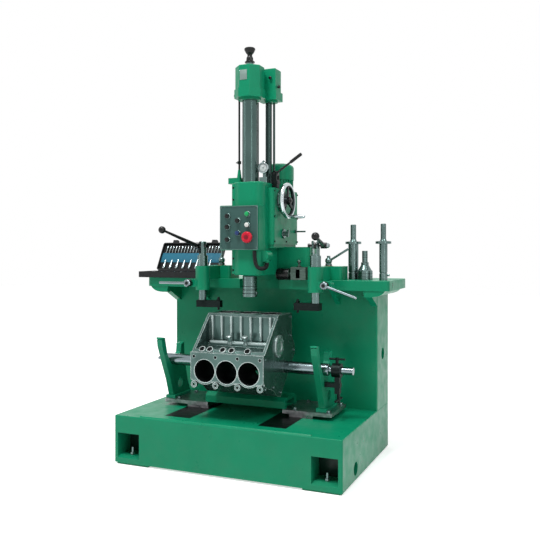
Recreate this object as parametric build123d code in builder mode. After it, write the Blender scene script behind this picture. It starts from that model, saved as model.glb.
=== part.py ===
"""Vertical fine boring machine for V-engine cylinder blocks, with a block held in its fixture.

Units are millimetres. +X is to the operator's right, +Y goes to the back, +Z is up.
The origin is on the floor, under the middle of the base.
"""

import os
from math import cos, radians, sin

from build123d import *

os.makedirs("parts", exist_ok=True)

# Clearances between pieces
RUN = 0.05  # radial clearance of a shaft in its bearing
SEAT = 0.3  # gap between two bodies that lie on each other

# Base
BASE_W, BASE_D, BASE_H = 1200.0, 842.0, 245.0
FOOT_W, FOOT_D, FOOT_H = 186.0, 140.0, 10.0
POCKET_W, POCKET_BOTTOM, POCKET_TOP, POCKET_D = 126.0, 33.0, 159.0, 110.0
POCKET_X = BASE_W / 2 - 83
LIP_X, LIP_H, LIP_D = -3.0, 5.0, 14.0
LIP_W = BASE_W - 295
WAY_W, WAY_L, WAY_T = 145.0, 455.0, 6.0
WAY_LEFT_X, WAY_RIGHT_X, WAY_FRONT = -286.0, 226.0, -BASE_D / 2 + 86
LIFT_R, LIFT_DEPTH = 32.0, 60.0
LIFT_Y, LIFT_Z = -BASE_D / 2 + 206, FOOT_H + 52
BOLT_R, BOLT_H = 7.0, 82.0
BOLT_Y = -BASE_D / 2 + 41

# Upright and table
BACK = BASE_D / 2
UPRIGHT_D, UPRIGHT_H = 239.0, 629.0
UPRIGHT_FRONT, UPRIGHT_TOP = BACK - UPRIGHT_D, BASE_H + UPRIGHT_H
TABLE_OVERHANG, TABLE_D, TABLE_T = 98.0, 392.0, 50.0
TABLE_W, TABLE_FRONT, TABLE_TOP = BASE_W + 2 * TABLE_OVERHANG, BACK - TABLE_D, UPRIGHT_TOP + TABLE_T
NOTCH_W, NOTCH_D = 230.0, 47.0
COVER_R, COVER_Y, COVER_Z = 30.0, BACK - 123, BASE_H + 283
RIB_X, RIB_T = 388.0, 24.0

# Spindle and bar
AXIS_Y = -90.0
BAR_R, SPINDLE_R = 39.0, 18.0
STROKE = 300.0
BAR_OUT, FLANGE_H, HOUSING_H = 426.0, 55.0, 117.0
HOUSING_R, HOUSING_RIGHT = 69.0, 118.0
NOSE_H, ROD_SPARE = 112.0, 15.0
STOP_X, STOP_Y, STOP_R = -60.0, -90.0, 5.0
THIN_X, THIN_Y, THIN_R = 20.0, -30.0, 4.0
DRIVE_X, DRIVE_Y, DRIVE_R = 65.0, 5.0, 17.0
FEED_X, FEED_Y, FEED_R = 92.0, 14.0, 6.0

# Head casting
COLUMN_L, COLUMN_R, COLUMN_FRONT, COLUMN_BACK, CORNER_R = -62.0, 104.0, -185.0, 70.0, 52.0
COLUMN_RISE, COLUMN_H = 26.0, 471.0
COLUMN_BOTTOM = TABLE_TOP + COLUMN_RISE
COLUMN_TOP = COLUMN_BOTTOM + COLUMN_H
BOX_L, BOX_R, BOX_FRONT, BOX_BACK, BOX_H = -95.0, 270.0, 60.0, 250.0, 170.0
BOX_TOP = TABLE_TOP + BOX_H
GEAR_L, GEAR_R, GEAR_FRONT, GEAR_BACK = -60.0, 136.0, -100.0, 252.0
GEAR_STEP = 26.0
GEAR_BOTTOM, GEAR_TOP = BOX_TOP + 13, COLUMN_TOP - GEAR_STEP
MOTOR_X, MOTOR_Y, MOTOR_R = 56.0, 176.0, 78.0
STRIP_X, STRIP_W, STRIP_FRONT, STRIP_BACK = -49.0, 30.0, -172.0, -98.0
STRIP_SCREWS = (COLUMN_BOTTOM + 26, COLUMN_BOTTOM + 85, COLUMN_TOP - 88, COLUMN_TOP - 28)
HOSE_BOSS = (106.0, COLUMN_BOTTOM + 97)
MOTOR_BODY_H, MOTOR_COVER_H = 63.0, 89.0
MOTOR_SPLIT = GEAR_TOP + MOTOR_BODY_H
MOTOR_TOP = MOTOR_SPLIT + MOTOR_COVER_H

# Heights of the bar and the housing on its top end
NOSE_Z, NOSE_BOTTOM = COLUMN_BOTTOM, COLUMN_BOTTOM - NOSE_H
TOP_FLANGE_Z = COLUMN_TOP + BAR_OUT
TOP_BODY_Z = TOP_FLANGE_Z + FLANGE_H
TOP_END_Z = TOP_BODY_Z + HOUSING_H
KNOB_Z = TOP_END_Z + 23
ROD_END, THIN_END = GEAR_TOP - 50, COLUMN_TOP - 46

# Control box and the hose under it
HOSE_END = (120.0, -144.0)
PANEL_L, PANEL_R, PANEL_Y, PANEL_H = -113.0, 102.0, -210.0, 226.0
PANEL_TOP = COLUMN_TOP - 119
PANEL_BOTTOM = PANEL_TOP - PANEL_H

# Handwheel and levers of the head
WHEEL_Y, WHEEL_Z, WHEEL_R = 4.0, GEAR_TOP - 62, 94.0
WHEEL_X, RIM_R = GEAR_R + 36, 11.0
FEED_DIAL, SHIFT_ROD = (34.0, GEAR_BOTTOM + 57), (205.0, GEAR_BOTTOM + 72)
CLUTCH_X, CLUTCH_Y, CLUTCH_ANGLE = 118.0, -27.0, 34.0
CLUTCH_Z = COLUMN_TOP + 51
GAUGE_X, GAUGE_R = 72.0, 27.0
GAUGE_Z = COLUMN_TOP + 78

# Arms, posts and clamps
LEFT_X, RIGHT_X = -275.0, 358.0
BOSS_R, BOSS_BOTTOM, ARM_TOP = 38.5, TABLE_TOP - 56, TABLE_TOP + 70
POST_R, POST_BOTTOM = 20.0, TABLE_TOP - 128
SLEEVE_H, FORK_H = 56.0, 74.0
FORK_Z, POST_TOP = ARM_TOP + SLEEVE_H, ARM_TOP + SLEEVE_H + FORK_H
SLEEVE_R, SLOT_W, PIVOT_Z = 27.5, 17.0, POST_TOP - 24
HUB_OUT, LEVER_REACH, LEVER_THICK, LEVER_THIN = 42.0, 244.0, 11.0, 6.0
CLAMP_BAR_L, CLAMP_BAR_Z, CLAMP_BAR_T = 110.0, POST_BOTTOM - 18, 36.0
SCREW_OUT, SCREW_Z, HANDLE_R, HANDLE_L = 62.0, TABLE_TOP - 20, 6.5, 172.0

# Fixture and engine block
CRANK_RISE, MANDREL_R = 245.0, 30.0
CRANK_Z = BASE_H + CRANK_RISE
PAD_T, PLATE_T = 17.0, 18.0
PLATE_Z, PLATE_TOP = BASE_H + PAD_T, BASE_H + PAD_T + PLATE_T
CRADLE_LEFT_X, CRADLE_RIGHT_X, CRADLE_T = -470.0, 390.0, 30.0
BLOCK_W, PITCH, CYLINDER_R = 390.0, 118.0, 55.0
DECK_A_Y, DECK_B_Z, DECK_T = -360.0, CRANK_Z + 265, 14.0

# Tools on the table
CASE_W, CASE_FRONT, CASE_BACK, CASE_T = 415.0, 8.0, 190.0, 33.0
CASE_L, CASE_Z = -TABLE_W / 2 - 51, TABLE_TOP
CASE_R = CASE_L + CASE_W
LID_T, LID_H, LID_ANGLE = 26.0, 196.0, 28.0


def save(piece, name):
    """Labels a finished piece and writes it as its own file."""
    piece.part.label = name
    export_step(piece.part, f"parts/{name}.step")


# Base: a heavy box with corner feet, two bolt pockets, recessed ways and lifting holes
with BuildPart() as base:
    with BuildSketch(Plane.XY.offset(FOOT_H)):
        Rectangle(BASE_W, BASE_D)
    extrude(amount=BASE_H - FOOT_H)
    fillet(base.edges().filter_by(Axis.Z), 8)
    fillet(base.faces().sort_by(Axis.Z)[-1].edges(), 5)
    with BuildSketch():
        with GridLocations(BASE_W - FOOT_W - 16, BASE_D - FOOT_D - 16, 2, 2):
            RectangleRounded(FOOT_W, FOOT_D, 8)
        Circle(90)
    extrude(amount=FOOT_H)
    # Low lip along the front edge of the top
    with BuildSketch(Plane.YZ.offset(LIP_X - LIP_W / 2)):
        with BuildLine():
            y0 = -BACK + 8
            Polyline((y0, BASE_H), (y0 + 5, BASE_H + LIP_H), (y0 + LIP_D, BASE_H + LIP_H), (y0 + LIP_D + 5, BASE_H), close=True)
        make_face()
    extrude(amount=LIP_W)
    # Bolt pockets with a sloped sill
    for side in (-1, 1):
        with BuildSketch(Plane.YZ.offset(side * POCKET_X - POCKET_W / 2)):
            with BuildLine():
                front, rear = -BACK - 1, -BACK + POCKET_D
                Polyline(
                    (front, POCKET_BOTTOM),
                    (front + 22, POCKET_BOTTOM + 12),
                    (rear, POCKET_BOTTOM + 12),
                    (rear, POCKET_TOP),
                    (front, POCKET_TOP),
                    close=True,
                )
            make_face()
        extrude(amount=POCKET_W, mode=Mode.SUBTRACT)
    with Locations((POCKET_X, BOLT_Y, 0), (-POCKET_X, BOLT_Y, 0)):
        Cylinder(BOLT_R, POCKET_BOTTOM + 20, align=(Align.CENTER, Align.CENTER, Align.MIN), mode=Mode.SUBTRACT)
    # Recesses for the ways
    with BuildSketch(Plane.XY.offset(BASE_H - WAY_T)):
        with Locations((WAY_LEFT_X, WAY_FRONT + WAY_L / 2), (WAY_RIGHT_X, WAY_FRONT + WAY_L / 2)):
            Rectangle(WAY_W, WAY_L)
    extrude(amount=WAY_T + 1, mode=Mode.SUBTRACT)
    # Lifting holes in both ends
    for side in (-1, 1):
        with BuildSketch(Plane.YZ.offset(side * BASE_W / 2)):
            with Locations((LIFT_Y, LIFT_Z)):
                Circle(LIFT_R)
        extrude(amount=-side * LIFT_DEPTH, mode=Mode.SUBTRACT)
save(base, "base")

# Levelling bolts with their nuts, one in each pocket
with BuildPart() as levelling_bolts:
    with Locations((POCKET_X, BOLT_Y, 2), (-POCKET_X, BOLT_Y, 2)):
        Cylinder(BOLT_R, BOLT_H, align=(Align.CENTER, Align.CENTER, Align.MIN))
    chamfer(levelling_bolts.faces().filter_by(Axis.Z).edges(), 1.5)
    with BuildSketch(Plane.XY.offset(POCKET_BOTTOM + 12)):
        with Locations((POCKET_X, BOLT_Y), (-POCKET_X, BOLT_Y)):
            RegularPolygon(12, 6)
    extrude(amount=12)
save(levelling_bolts, "levelling_bolts")

# Ways: two dark steel strips let into the top of the base
with BuildPart() as ways:
    with BuildSketch(Plane.XY.offset(BASE_H - WAY_T)):
        with Locations((WAY_LEFT_X, WAY_FRONT + WAY_L / 2), (WAY_RIGHT_X, WAY_FRONT + WAY_L / 2)):
            Rectangle(WAY_W, WAY_L)
    extrude(amount=WAY_T)
save(ways, "base_ways")

# Upright: a full-width casting with a flat front wall
with BuildPart() as upright:
    with BuildSketch(Plane.XY.offset(BASE_H)):
        with Locations((0, (UPRIGHT_FRONT + BACK) / 2)):
            Rectangle(BASE_W, BACK - UPRIGHT_FRONT)
    extrude(amount=UPRIGHT_TOP - BASE_H)
    fillet(upright.edges().filter_by(Axis.Z), 8)
    for side in (-1, 1):
        with BuildSketch(Plane.YZ.offset(side * BASE_W / 2)):
            with Locations((COVER_Y, COVER_Z)):
                Circle(COVER_R)
        extrude(amount=-side * 14, mode=Mode.SUBTRACT)
save(upright, "upright")

# Table: a notched plate with curved end brackets, side gussets and two ribs underneath
with BuildPart() as table:
    with BuildSketch(Plane.XY.offset(UPRIGHT_TOP)):
        with Locations((0, (TABLE_FRONT + BACK) / 2)):
            RectangleRounded(TABLE_W, BACK - TABLE_FRONT, 22)
        with Locations((0, TABLE_FRONT + NOTCH_D / 2)):
            Rectangle(NOTCH_W, NOTCH_D, mode=Mode.SUBTRACT)
    extrude(amount=TABLE_T)
    fillet(table.faces().sort_by(Axis.Z)[-1].edges(), 2.5)
    # Brackets that carry the overhanging ends
    for side in (-1, 1):
        with BuildSketch(Plane.XZ.offset(-BACK + 24)):
            with BuildLine():
                x_in, x_out = side * (BASE_W / 2 - 30), side * (TABLE_W / 2 - 22)
                z_low = UPRIGHT_TOP - 32
                Polyline((x_out, UPRIGHT_TOP + 1), (x_in, UPRIGHT_TOP + 1), (x_in, z_low), (side * BASE_W / 2, z_low))
                x_mid = side * (BASE_W / 2 + TABLE_OVERHANG * 0.53)
                Spline((side * BASE_W / 2, z_low), (x_mid, z_low + 10), (x_out, UPRIGHT_TOP + 1), tangents=((side, 0.05), (side * 0.4, 1)))
            make_face()
        extrude(amount=BACK - TABLE_FRONT - 28)
    # Side gussets down to the front wall of the upright
    for side in (-1, 1):
        with BuildSketch(Plane.YZ.offset(side * BASE_W / 2)):
            with BuildLine():
                y0, y1 = TABLE_FRONT + 4, UPRIGHT_FRONT
                Polyline((y0, UPRIGHT_TOP + 1), (y0, UPRIGHT_TOP - 12), (y1, UPRIGHT_TOP - 86), (y1, UPRIGHT_TOP + 1), close=True)
            make_face()
        extrude(amount=-side * 34)
    # Ribs under the table
    for side in (-1, 1):
        with BuildSketch(Plane.YZ.offset(side * RIB_X - RIB_T / 2)):
            with BuildLine():
                Polyline((TABLE_FRONT + 30, UPRIGHT_TOP + 1), (UPRIGHT_FRONT, UPRIGHT_TOP - 84), (UPRIGHT_FRONT, UPRIGHT_TOP + 1), close=True)
            make_face()
        extrude(amount=RIB_T)
    # Clear the column of the upright, then cut the slot mark of the right end
    with BuildSketch(Plane.XY.offset(UPRIGHT_TOP - 174)):
        with Locations((0, (UPRIGHT_FRONT + BACK) / 2)):
            Rectangle(BASE_W, BACK - UPRIGHT_FRONT)
    extrude(amount=174, mode=Mode.SUBTRACT)
    with BuildSketch(Plane.YZ.offset(TABLE_W / 2)):
        with Locations((110, TABLE_TOP - 22)):
            SlotOverall(30, 9, rotation=90)
    extrude(amount=-8, mode=Mode.SUBTRACT)
save(table, "table")

# Head casting: rounded column round the bar, gearbox behind it and a box that stands on the table
with BuildPart() as head_casting:
    with BuildSketch(Plane.XY.offset(COLUMN_BOTTOM)):
        with Locations(((COLUMN_L + COLUMN_R) / 2, (COLUMN_FRONT + COLUMN_BACK) / 2)):
            RectangleRounded(COLUMN_R - COLUMN_L, COLUMN_BACK - COLUMN_FRONT, CORNER_R)
    extrude(amount=COLUMN_TOP - COLUMN_BOTTOM)
    chamfer(head_casting.faces().filter_by(Axis.Z).edges(), 4)
    with BuildSketch(Plane.XY.offset(TABLE_TOP)):
        with Locations(((BOX_L + BOX_R) / 2, (BOX_FRONT + BOX_BACK) / 2)):
            RectangleRounded(BOX_R - BOX_L, BOX_BACK - BOX_FRONT, 22)
    extrude(amount=BOX_TOP - TABLE_TOP)
    with BuildSketch(Plane.XY.offset(BOX_TOP - 5)):
        with Locations(((GEAR_L + GEAR_R) / 2, (GEAR_FRONT + GEAR_BACK) / 2)):
            RectangleRounded(GEAR_R - GEAR_L - 14, GEAR_BACK - GEAR_FRONT - 14, 16)
    extrude(amount=GEAR_BOTTOM - BOX_TOP + 10)
    with BuildSketch(Plane.XY.offset(GEAR_BOTTOM)):
        with Locations(((GEAR_L + GEAR_R) / 2, (GEAR_FRONT + GEAR_BACK) / 2)):
            RectangleRounded(GEAR_R - GEAR_L, GEAR_BACK - GEAR_FRONT, 20)
    extrude(amount=GEAR_TOP - GEAR_BOTTOM)
    # Flange strip on the left of the column, with four socket screws
    with BuildSketch(Plane.XY.offset(COLUMN_BOTTOM + 8)):
        with Locations((STRIP_X, (STRIP_FRONT + STRIP_BACK) / 2)):
            RectangleRounded(STRIP_W, STRIP_BACK - STRIP_FRONT, 6)
    extrude(amount=COLUMN_TOP - COLUMN_BOTTOM - 16)
    with BuildSketch(Plane.XZ.offset(-STRIP_FRONT)):
        with Locations(*[(STRIP_X - 6, z) for z in STRIP_SCREWS]):
            Circle(6)
    extrude(amount=-7, mode=Mode.SUBTRACT)
    # Lug and sleeve of the depth-stop rod
    with BuildSketch(Plane.XY.offset(COLUMN_TOP)):
        with Locations((STOP_X - 22, STOP_Y)):
            RectangleRounded(70, 40, 8)
    extrude(amount=30)
    with BuildSketch(Plane.XY.offset(COLUMN_TOP + 30)):
        with Locations((STOP_X, STOP_Y)):
            Circle(12)
    extrude(amount=42, taper=7)
    # Boss that takes the conduit
    with BuildSketch(Plane.XZ.offset(100)):
        with Locations(HOSE_BOSS):
            Circle(28)
    extrude(amount=62)
    with BuildSketch(Plane.XY.offset(HOSE_BOSS[1] - 32)):
        with Locations(HOSE_END):
            Circle(11)
    extrude(amount=30)
    # Bores for the bar and for everything that slides down with it
    with Locations((0, AXIS_Y, COLUMN_BOTTOM)):
        Cylinder(BAR_R + RUN, COLUMN_H + 83, align=(Align.CENTER, Align.CENTER, Align.MIN), mode=Mode.SUBTRACT)
    with Locations((STOP_X, STOP_Y, COLUMN_TOP - 40)):
        Cylinder(STOP_R, 140, align=(Align.CENTER, Align.CENTER, Align.MIN), mode=Mode.SUBTRACT)
    with Locations((THIN_X, THIN_Y, THIN_END - STROKE - ROD_SPARE)):
        Cylinder(THIN_R + SEAT, STROKE + 100, align=(Align.CENTER, Align.CENTER, Align.MIN), mode=Mode.SUBTRACT)
    with Locations((DRIVE_X, DRIVE_Y, ROD_END - STROKE - ROD_SPARE)):
        Cylinder(DRIVE_R + SEAT, STROKE + 100, align=(Align.CENTER, Align.CENTER, Align.MIN), mode=Mode.SUBTRACT)
    with Locations((FEED_X, FEED_Y, ROD_END - STROKE - ROD_SPARE)):
        Cylinder(FEED_R + SEAT, STROKE + 100, align=(Align.CENTER, Align.CENTER, Align.MIN), mode=Mode.SUBTRACT)
    # Bore of the handwheel shaft and of the clutch shaft
    with BuildSketch(Plane.YZ.offset(GEAR_R)):
        with Locations((WHEEL_Y, WHEEL_Z)):
            Circle(10 + RUN)
    extrude(amount=-34, mode=Mode.SUBTRACT)
save(head_casting, "head_casting")

# Motor: finned body on the gearbox
with BuildPart() as motor:
    with Locations((MOTOR_X, MOTOR_Y, GEAR_TOP)):
        Cylinder(MOTOR_R - 7, MOTOR_SPLIT - GEAR_TOP, align=(Align.CENTER, Align.CENTER, Align.MIN))
    with BuildSketch(Plane.XY.offset(GEAR_TOP + 8)):
        with Locations((MOTOR_X, MOTOR_Y)):
            with PolarLocations(MOTOR_R - 8, 30):
                Rectangle(10, 3)
    extrude(amount=MOTOR_SPLIT - GEAR_TOP - 8)
    with Locations((MOTOR_X, MOTOR_Y, GEAR_TOP)):
        Cylinder(MOTOR_R, 8, align=(Align.CENTER, Align.CENTER, Align.MIN))
    # Domed fan cover
    with BuildSketch(Plane.XZ.offset(-MOTOR_Y)):
        with BuildLine():
            Polyline(
                (MOTOR_X, MOTOR_SPLIT),
                (MOTOR_X + MOTOR_R, MOTOR_SPLIT),
                (MOTOR_X + MOTOR_R, MOTOR_TOP - 26),
            )
            Spline(
                (MOTOR_X + MOTOR_R, MOTOR_TOP - 26),
                (MOTOR_X + MOTOR_R - 12, MOTOR_TOP - 7),
                (MOTOR_X, MOTOR_TOP),
                tangents=((0, 1), (-1, 0)),
            )
            Line((MOTOR_X, MOTOR_TOP), (MOTOR_X, MOTOR_SPLIT))
        make_face()
    revolve(axis=Axis((MOTOR_X, MOTOR_Y, 0), (0, 0, 1)))
save(motor, "motor")

# Dials on the gearbox: the graduated ring behind the handwheel, and the feed controls under it
with BuildPart() as gearbox_dials:
    with BuildSketch(Plane.YZ.offset(GEAR_R)):
        with Locations((WHEEL_Y, WHEEL_Z)):
            Circle(58)
            Circle(10 + RUN, mode=Mode.SUBTRACT)
    extrude(amount=12)
    chamfer(gearbox_dials.faces().sort_by(Axis.X)[-1].edges().sort_by(SortBy.LENGTH)[-1], 3)
    # Feed dial with its knob, and a thin shift rod
    with BuildSketch(Plane.YZ.offset(GEAR_R)):
        with Locations(FEED_DIAL):
            Circle(24)
    extrude(amount=8)
    with BuildSketch(Plane.YZ.offset(GEAR_R + 8)):
        with Locations(FEED_DIAL):
            Circle(12)
    extrude(amount=14)
    with BuildSketch(Plane.YZ.offset(GEAR_R + 22)):
        with Locations(FEED_DIAL):
            SlotOverall(40, 11, rotation=70)
    extrude(amount=9)
    with BuildSketch(Plane.YZ.offset(GEAR_R)):
        with Locations(SHIFT_ROD):
            Circle(4.5)
    extrude(amount=60)
    with BuildSketch(Plane.YZ.offset(GEAR_R)):
        with Locations(SHIFT_ROD):
            Circle(9)
    extrude(amount=8)
save(gearbox_dials, "gearbox_dials")

# Control box: a shallow box fitted over the front of the column
with BuildPart() as control_box:
    with BuildSketch(Plane.XZ.offset(-PANEL_Y - 5)):
        with Locations(((PANEL_L + PANEL_R) / 2, (PANEL_BOTTOM + PANEL_TOP) / 2)):
            Rectangle(PANEL_R - PANEL_L, PANEL_TOP - PANEL_BOTTOM)
    extrude(amount=-85)
    fillet(control_box.edges().filter_by(Axis.Y), 4)
    with BuildSketch(Plane.XY.offset(PANEL_BOTTOM - 1)):
        with Locations(((COLUMN_L + COLUMN_R) / 2, (COLUMN_FRONT + COLUMN_BACK) / 2)):
            RectangleRounded(COLUMN_R - COLUMN_L, COLUMN_BACK - COLUMN_FRONT, CORNER_R)
        with Locations((STRIP_X, (STRIP_FRONT + STRIP_BACK) / 2)):
            RectangleRounded(STRIP_W, STRIP_BACK - STRIP_FRONT, 6)
    extrude(amount=PANEL_TOP - PANEL_BOTTOM + 2, mode=Mode.SUBTRACT)
save(control_box, "control_box")

# Panel plate with holes for the buttons
BUTTON_DROPS = [(-66, 54), (-66, 109), (-66, 172), (-9, 78), (-9, 140), (44, 45), (44, 99)]
BUTTONS = [(x, PANEL_TOP - drop) for x, drop in BUTTON_DROPS]
STOP_BUTTON = (48, PANEL_TOP - 161)
with BuildPart() as control_panel:
    with BuildSketch(Plane.XZ.offset(-PANEL_Y - 5)):
        with Locations(((PANEL_L + PANEL_R) / 2, (PANEL_BOTTOM + PANEL_TOP) / 2)):
            RectangleRounded(PANEL_R - PANEL_L - 6, PANEL_TOP - PANEL_BOTTOM - 6, 3)
    extrude(amount=5)
save(control_panel, "control_panel")

# Push buttons: collars with caps, all on one panel
with BuildPart() as push_buttons:
    with BuildSketch(Plane.XZ.offset(-PANEL_Y)):
        with Locations(*BUTTONS):
            Circle(15)
    extrude(amount=7)
    chamfer(push_buttons.faces().filter_by(Axis.Y).sort_by(Axis.Y)[:7].edges(), 2)
    with BuildSketch(Plane.XZ.offset(-PANEL_Y + 7)):
        with Locations(*BUTTONS):
            Circle(10)
    extrude(amount=6)
save(push_buttons, "push_buttons")

# Emergency stop: a mushroom head on a short neck
with BuildPart() as stop_button:
    with BuildSketch(Plane.XZ.offset(-PANEL_Y)):
        with Locations(STOP_BUTTON):
            Circle(14)
    extrude(amount=16)
    with BuildSketch(Plane.XZ.offset(-PANEL_Y + 16)):
        with Locations(STOP_BUTTON):
            Circle(28)
    extrude(amount=13)
    fillet(stop_button.faces().sort_by(Axis.Y)[0].edges(), 7)
save(stop_button, "stop_button")

# Conduit: a short bent hose from the control box into the casting
with BuildPart() as conduit:
    with BuildLine() as hose:
        Spline(
            (74, -195, PANEL_BOTTOM),
            (77, -198, PANEL_BOTTOM - 34),
            (98, -198, HOSE_BOSS[1] - 58),
            (120, -172, HOSE_BOSS[1] - 58),
            (*HOSE_END, HOSE_BOSS[1] - 32),
            tangents=((0, 0, -1), (0, 0, 1)),
        )
    with BuildSketch(Plane(hose.line @ 0, z_dir=hose.line % 0)):
        Circle(8.5)
    sweep()
save(conduit, "conduit")

# Dial gauge on its bracket, on top of the column
with BuildPart() as dial_gauge:
    with BuildSketch(Plane.XY.offset(COLUMN_TOP)):
        with Locations((GAUGE_X, -72)):
            RectangleRounded(44, 30, 5)
    extrude(amount=30)
    with BuildSketch(Plane.XY.offset(COLUMN_TOP + 30)):
        with Locations((GAUGE_X, -66)):
            RectangleRounded(16, 10, 2)
    extrude(amount=52)
    with BuildSketch(Plane.XZ.offset(71)):
        with Locations((GAUGE_X, GAUGE_Z)):
            Circle(GAUGE_R)
    extrude(amount=16)
    with BuildSketch(Plane.XZ.offset(87)):
        with Locations((GAUGE_X, GAUGE_Z)):
            Circle(GAUGE_R - 4)
    extrude(amount=-3, mode=Mode.SUBTRACT)
    with BuildSketch(Plane.XZ.offset(73)):
        with BuildLine():
            z0 = GAUGE_Z + GAUGE_R - 4
            Polyline((GAUGE_X - 14, z0), (GAUGE_X, z0 + 16), (GAUGE_X + 14, z0), close=True)
        make_face()
    extrude(amount=8)
    with BuildSketch(Plane.XZ.offset(79)):
        with Locations((GAUGE_X, GAUGE_Z)):
            Circle(3)
    extrude(amount=6)
save(dial_gauge, "dial_gauge")

# Clutch bracket, a forked stand on the gearbox
with BuildPart() as clutch_bracket:
    with BuildSketch(Plane.XY.offset(COLUMN_TOP - 1)):
        with Locations((CLUTCH_X, CLUTCH_Y)):
            RectangleRounded(34, 44, 5)
    extrude(amount=14)
    with BuildSketch(Plane.XY.offset(GEAR_TOP)):
        with Locations((CLUTCH_X, CLUTCH_Y)):
            RectangleRounded(28, 40, 5)
    extrude(amount=COLUMN_TOP - GEAR_TOP)
    with BuildSketch(Plane.XZ.offset(-CLUTCH_Y - 20)):
        with BuildLine():
            Polyline(
                (CLUTCH_X - 13, COLUMN_TOP + 12),
                (CLUTCH_X - 13, CLUTCH_Z),
                (CLUTCH_X + 13, CLUTCH_Z),
                (CLUTCH_X + 13, COLUMN_TOP + 12),
                close=True,
            )
        make_face()
        with Locations((CLUTCH_X, CLUTCH_Z)):
            Circle(13)
            Circle(6 + RUN, mode=Mode.SUBTRACT)
    extrude(amount=40)
    with Locations((CLUTCH_X, CLUTCH_Y, CLUTCH_Z)):
        Box(60, 20, 62, mode=Mode.SUBTRACT)
save(clutch_bracket, "clutch_bracket")

# Clutch lever: a hub on a cross pin and a straight rod with a grip
clutch_dir = (cos(radians(CLUTCH_ANGLE)), 0, sin(radians(CLUTCH_ANGLE)))
clutch_plane = Plane((CLUTCH_X, CLUTCH_Y, CLUTCH_Z), x_dir=(0, 1, 0), z_dir=clutch_dir)
with BuildPart() as clutch_lever:
    with BuildSketch(Plane.XZ.offset(-CLUTCH_Y - 9.2)):
        with Locations((CLUTCH_X, CLUTCH_Z)):
            Circle(15)
    extrude(amount=18.4)
    with BuildSketch(Plane.XZ.offset(-CLUTCH_Y - 24)):
        with Locations((CLUTCH_X, CLUTCH_Z)):
            Circle(6)
    extrude(amount=48)
    with BuildSketch(clutch_plane):
        Circle(5.5)
    extrude(amount=110)
    with BuildSketch(clutch_plane.offset(100)):
        Circle(8.5)
    extrude(amount=72)
    fillet(clutch_lever.faces().sort_by(Axis.X)[-1].edges(), 4)
save(clutch_lever, "clutch_lever")

# Handwheel: shaft, hub, three spokes and a round rim, all one wheel
with BuildPart() as handwheel:
    with BuildSketch(Plane.YZ.offset(GEAR_R - 30)):
        with Locations((WHEEL_Y, WHEEL_Z)):
            Circle(10)
    extrude(amount=WHEEL_X - GEAR_R + 30)
    with BuildSketch(Plane.YZ.offset(WHEEL_X - 18)):
        with Locations((WHEEL_Y, WHEEL_Z)):
            Circle(20)
    extrude(amount=30)
    with BuildSketch(Plane.YZ.offset(WHEEL_X - 4)):
        for turn in (90, 210, 330):
            dy, dz = 43 * cos(radians(turn)), 43 * sin(radians(turn))
            with Locations((WHEEL_Y + dy, WHEEL_Z + dz)):
                Rectangle(80, 15, rotation=turn)
    extrude(amount=9)
    with BuildSketch(Plane.XY.offset(WHEEL_Z)):
        with Locations((WHEEL_X, WHEEL_Y + WHEEL_R - RIM_R)):
            Circle(RIM_R)
    revolve(axis=Axis((0, WHEEL_Y, WHEEL_Z), (1, 0, 0)))
save(handwheel, "handwheel")

# Crank grip on the rim of the handwheel
GRIP_Z = WHEEL_Z - WHEEL_R + RIM_R
with BuildPart() as crank_grip:
    with BuildSketch(Plane.YZ.offset(WHEEL_X + RIM_R - 0.6)):
        with Locations((WHEEL_Y, GRIP_Z)):
            Circle(5)
    extrude(amount=10)
    with BuildSketch(Plane.XY.offset(GRIP_Z)):
        with BuildLine():
            x0 = WHEEL_X + RIM_R + 7
            Polyline((x0, WHEEL_Y), (x0, WHEEL_Y + 7))
            Spline((x0, WHEEL_Y + 7), (x0 + 42, WHEEL_Y + 10), (x0 + 74, WHEEL_Y + 8))
            Polyline((x0 + 74, WHEEL_Y + 8), (x0 + 78, WHEEL_Y + 4), (x0 + 78, WHEEL_Y), (x0, WHEEL_Y))
        make_face()
    revolve(axis=Axis((0, WHEEL_Y, GRIP_Z), (1, 0, 0)))
save(crank_grip, "crank_grip")

# Boring bar: a ground steel tube that slides in the casting
with BuildPart() as boring_bar:
    with BuildSketch(Plane.XY.offset(NOSE_Z + SEAT)):
        with Locations((0, AXIS_Y)):
            Circle(BAR_R)
            Circle(SPINDLE_R + RUN, mode=Mode.SUBTRACT)
    extrude(amount=TOP_FLANGE_Z - NOSE_Z - SEAT)
save(boring_bar, "boring_bar")

# Top housing: flange and rounded body with a block over the drive tube
with BuildPart() as top_housing:
    with BuildSketch(Plane.XY.offset(TOP_BODY_Z)):
        with Locations((0, AXIS_Y)):
            RegularPolygon(HOUSING_R, 8, major_radius=False, rotation=22.5)
        with Locations((HOUSING_RIGHT - 49, 7)):
            Rectangle(98, 74)
    extrude(amount=TOP_END_Z - TOP_BODY_Z)
    chamfer(top_housing.faces().sort_by(Axis.Z)[-1].edges(), 3)
    with BuildSketch(Plane.XY.offset(TOP_FLANGE_Z + 10)):
        with Locations((0, AXIS_Y)):
            RegularPolygon(HOUSING_R + 5, 8, major_radius=False, rotation=22.5)
        with Locations((HOUSING_RIGHT - 50, 9)):
            Rectangle(112, 90)
    extrude(amount=TOP_BODY_Z - TOP_FLANGE_Z - 10)
    with BuildSketch(Plane.XY.offset(TOP_FLANGE_Z)):
        with Locations((0, AXIS_Y)):
            Circle(58)
        with Locations((78, 8)):
            Circle(34)
    extrude(amount=10)
    with Locations((0, AXIS_Y, TOP_FLANGE_Z - 1)):
        Cylinder(SPINDLE_R + RUN, 200, align=(Align.CENTER, Align.CENTER, Align.MIN), mode=Mode.SUBTRACT)
    with Locations((STOP_X, STOP_Y, TOP_FLANGE_Z - 1)):
        Cylinder(STOP_R + SEAT, 200, align=(Align.CENTER, Align.CENTER, Align.MIN), mode=Mode.SUBTRACT)
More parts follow.
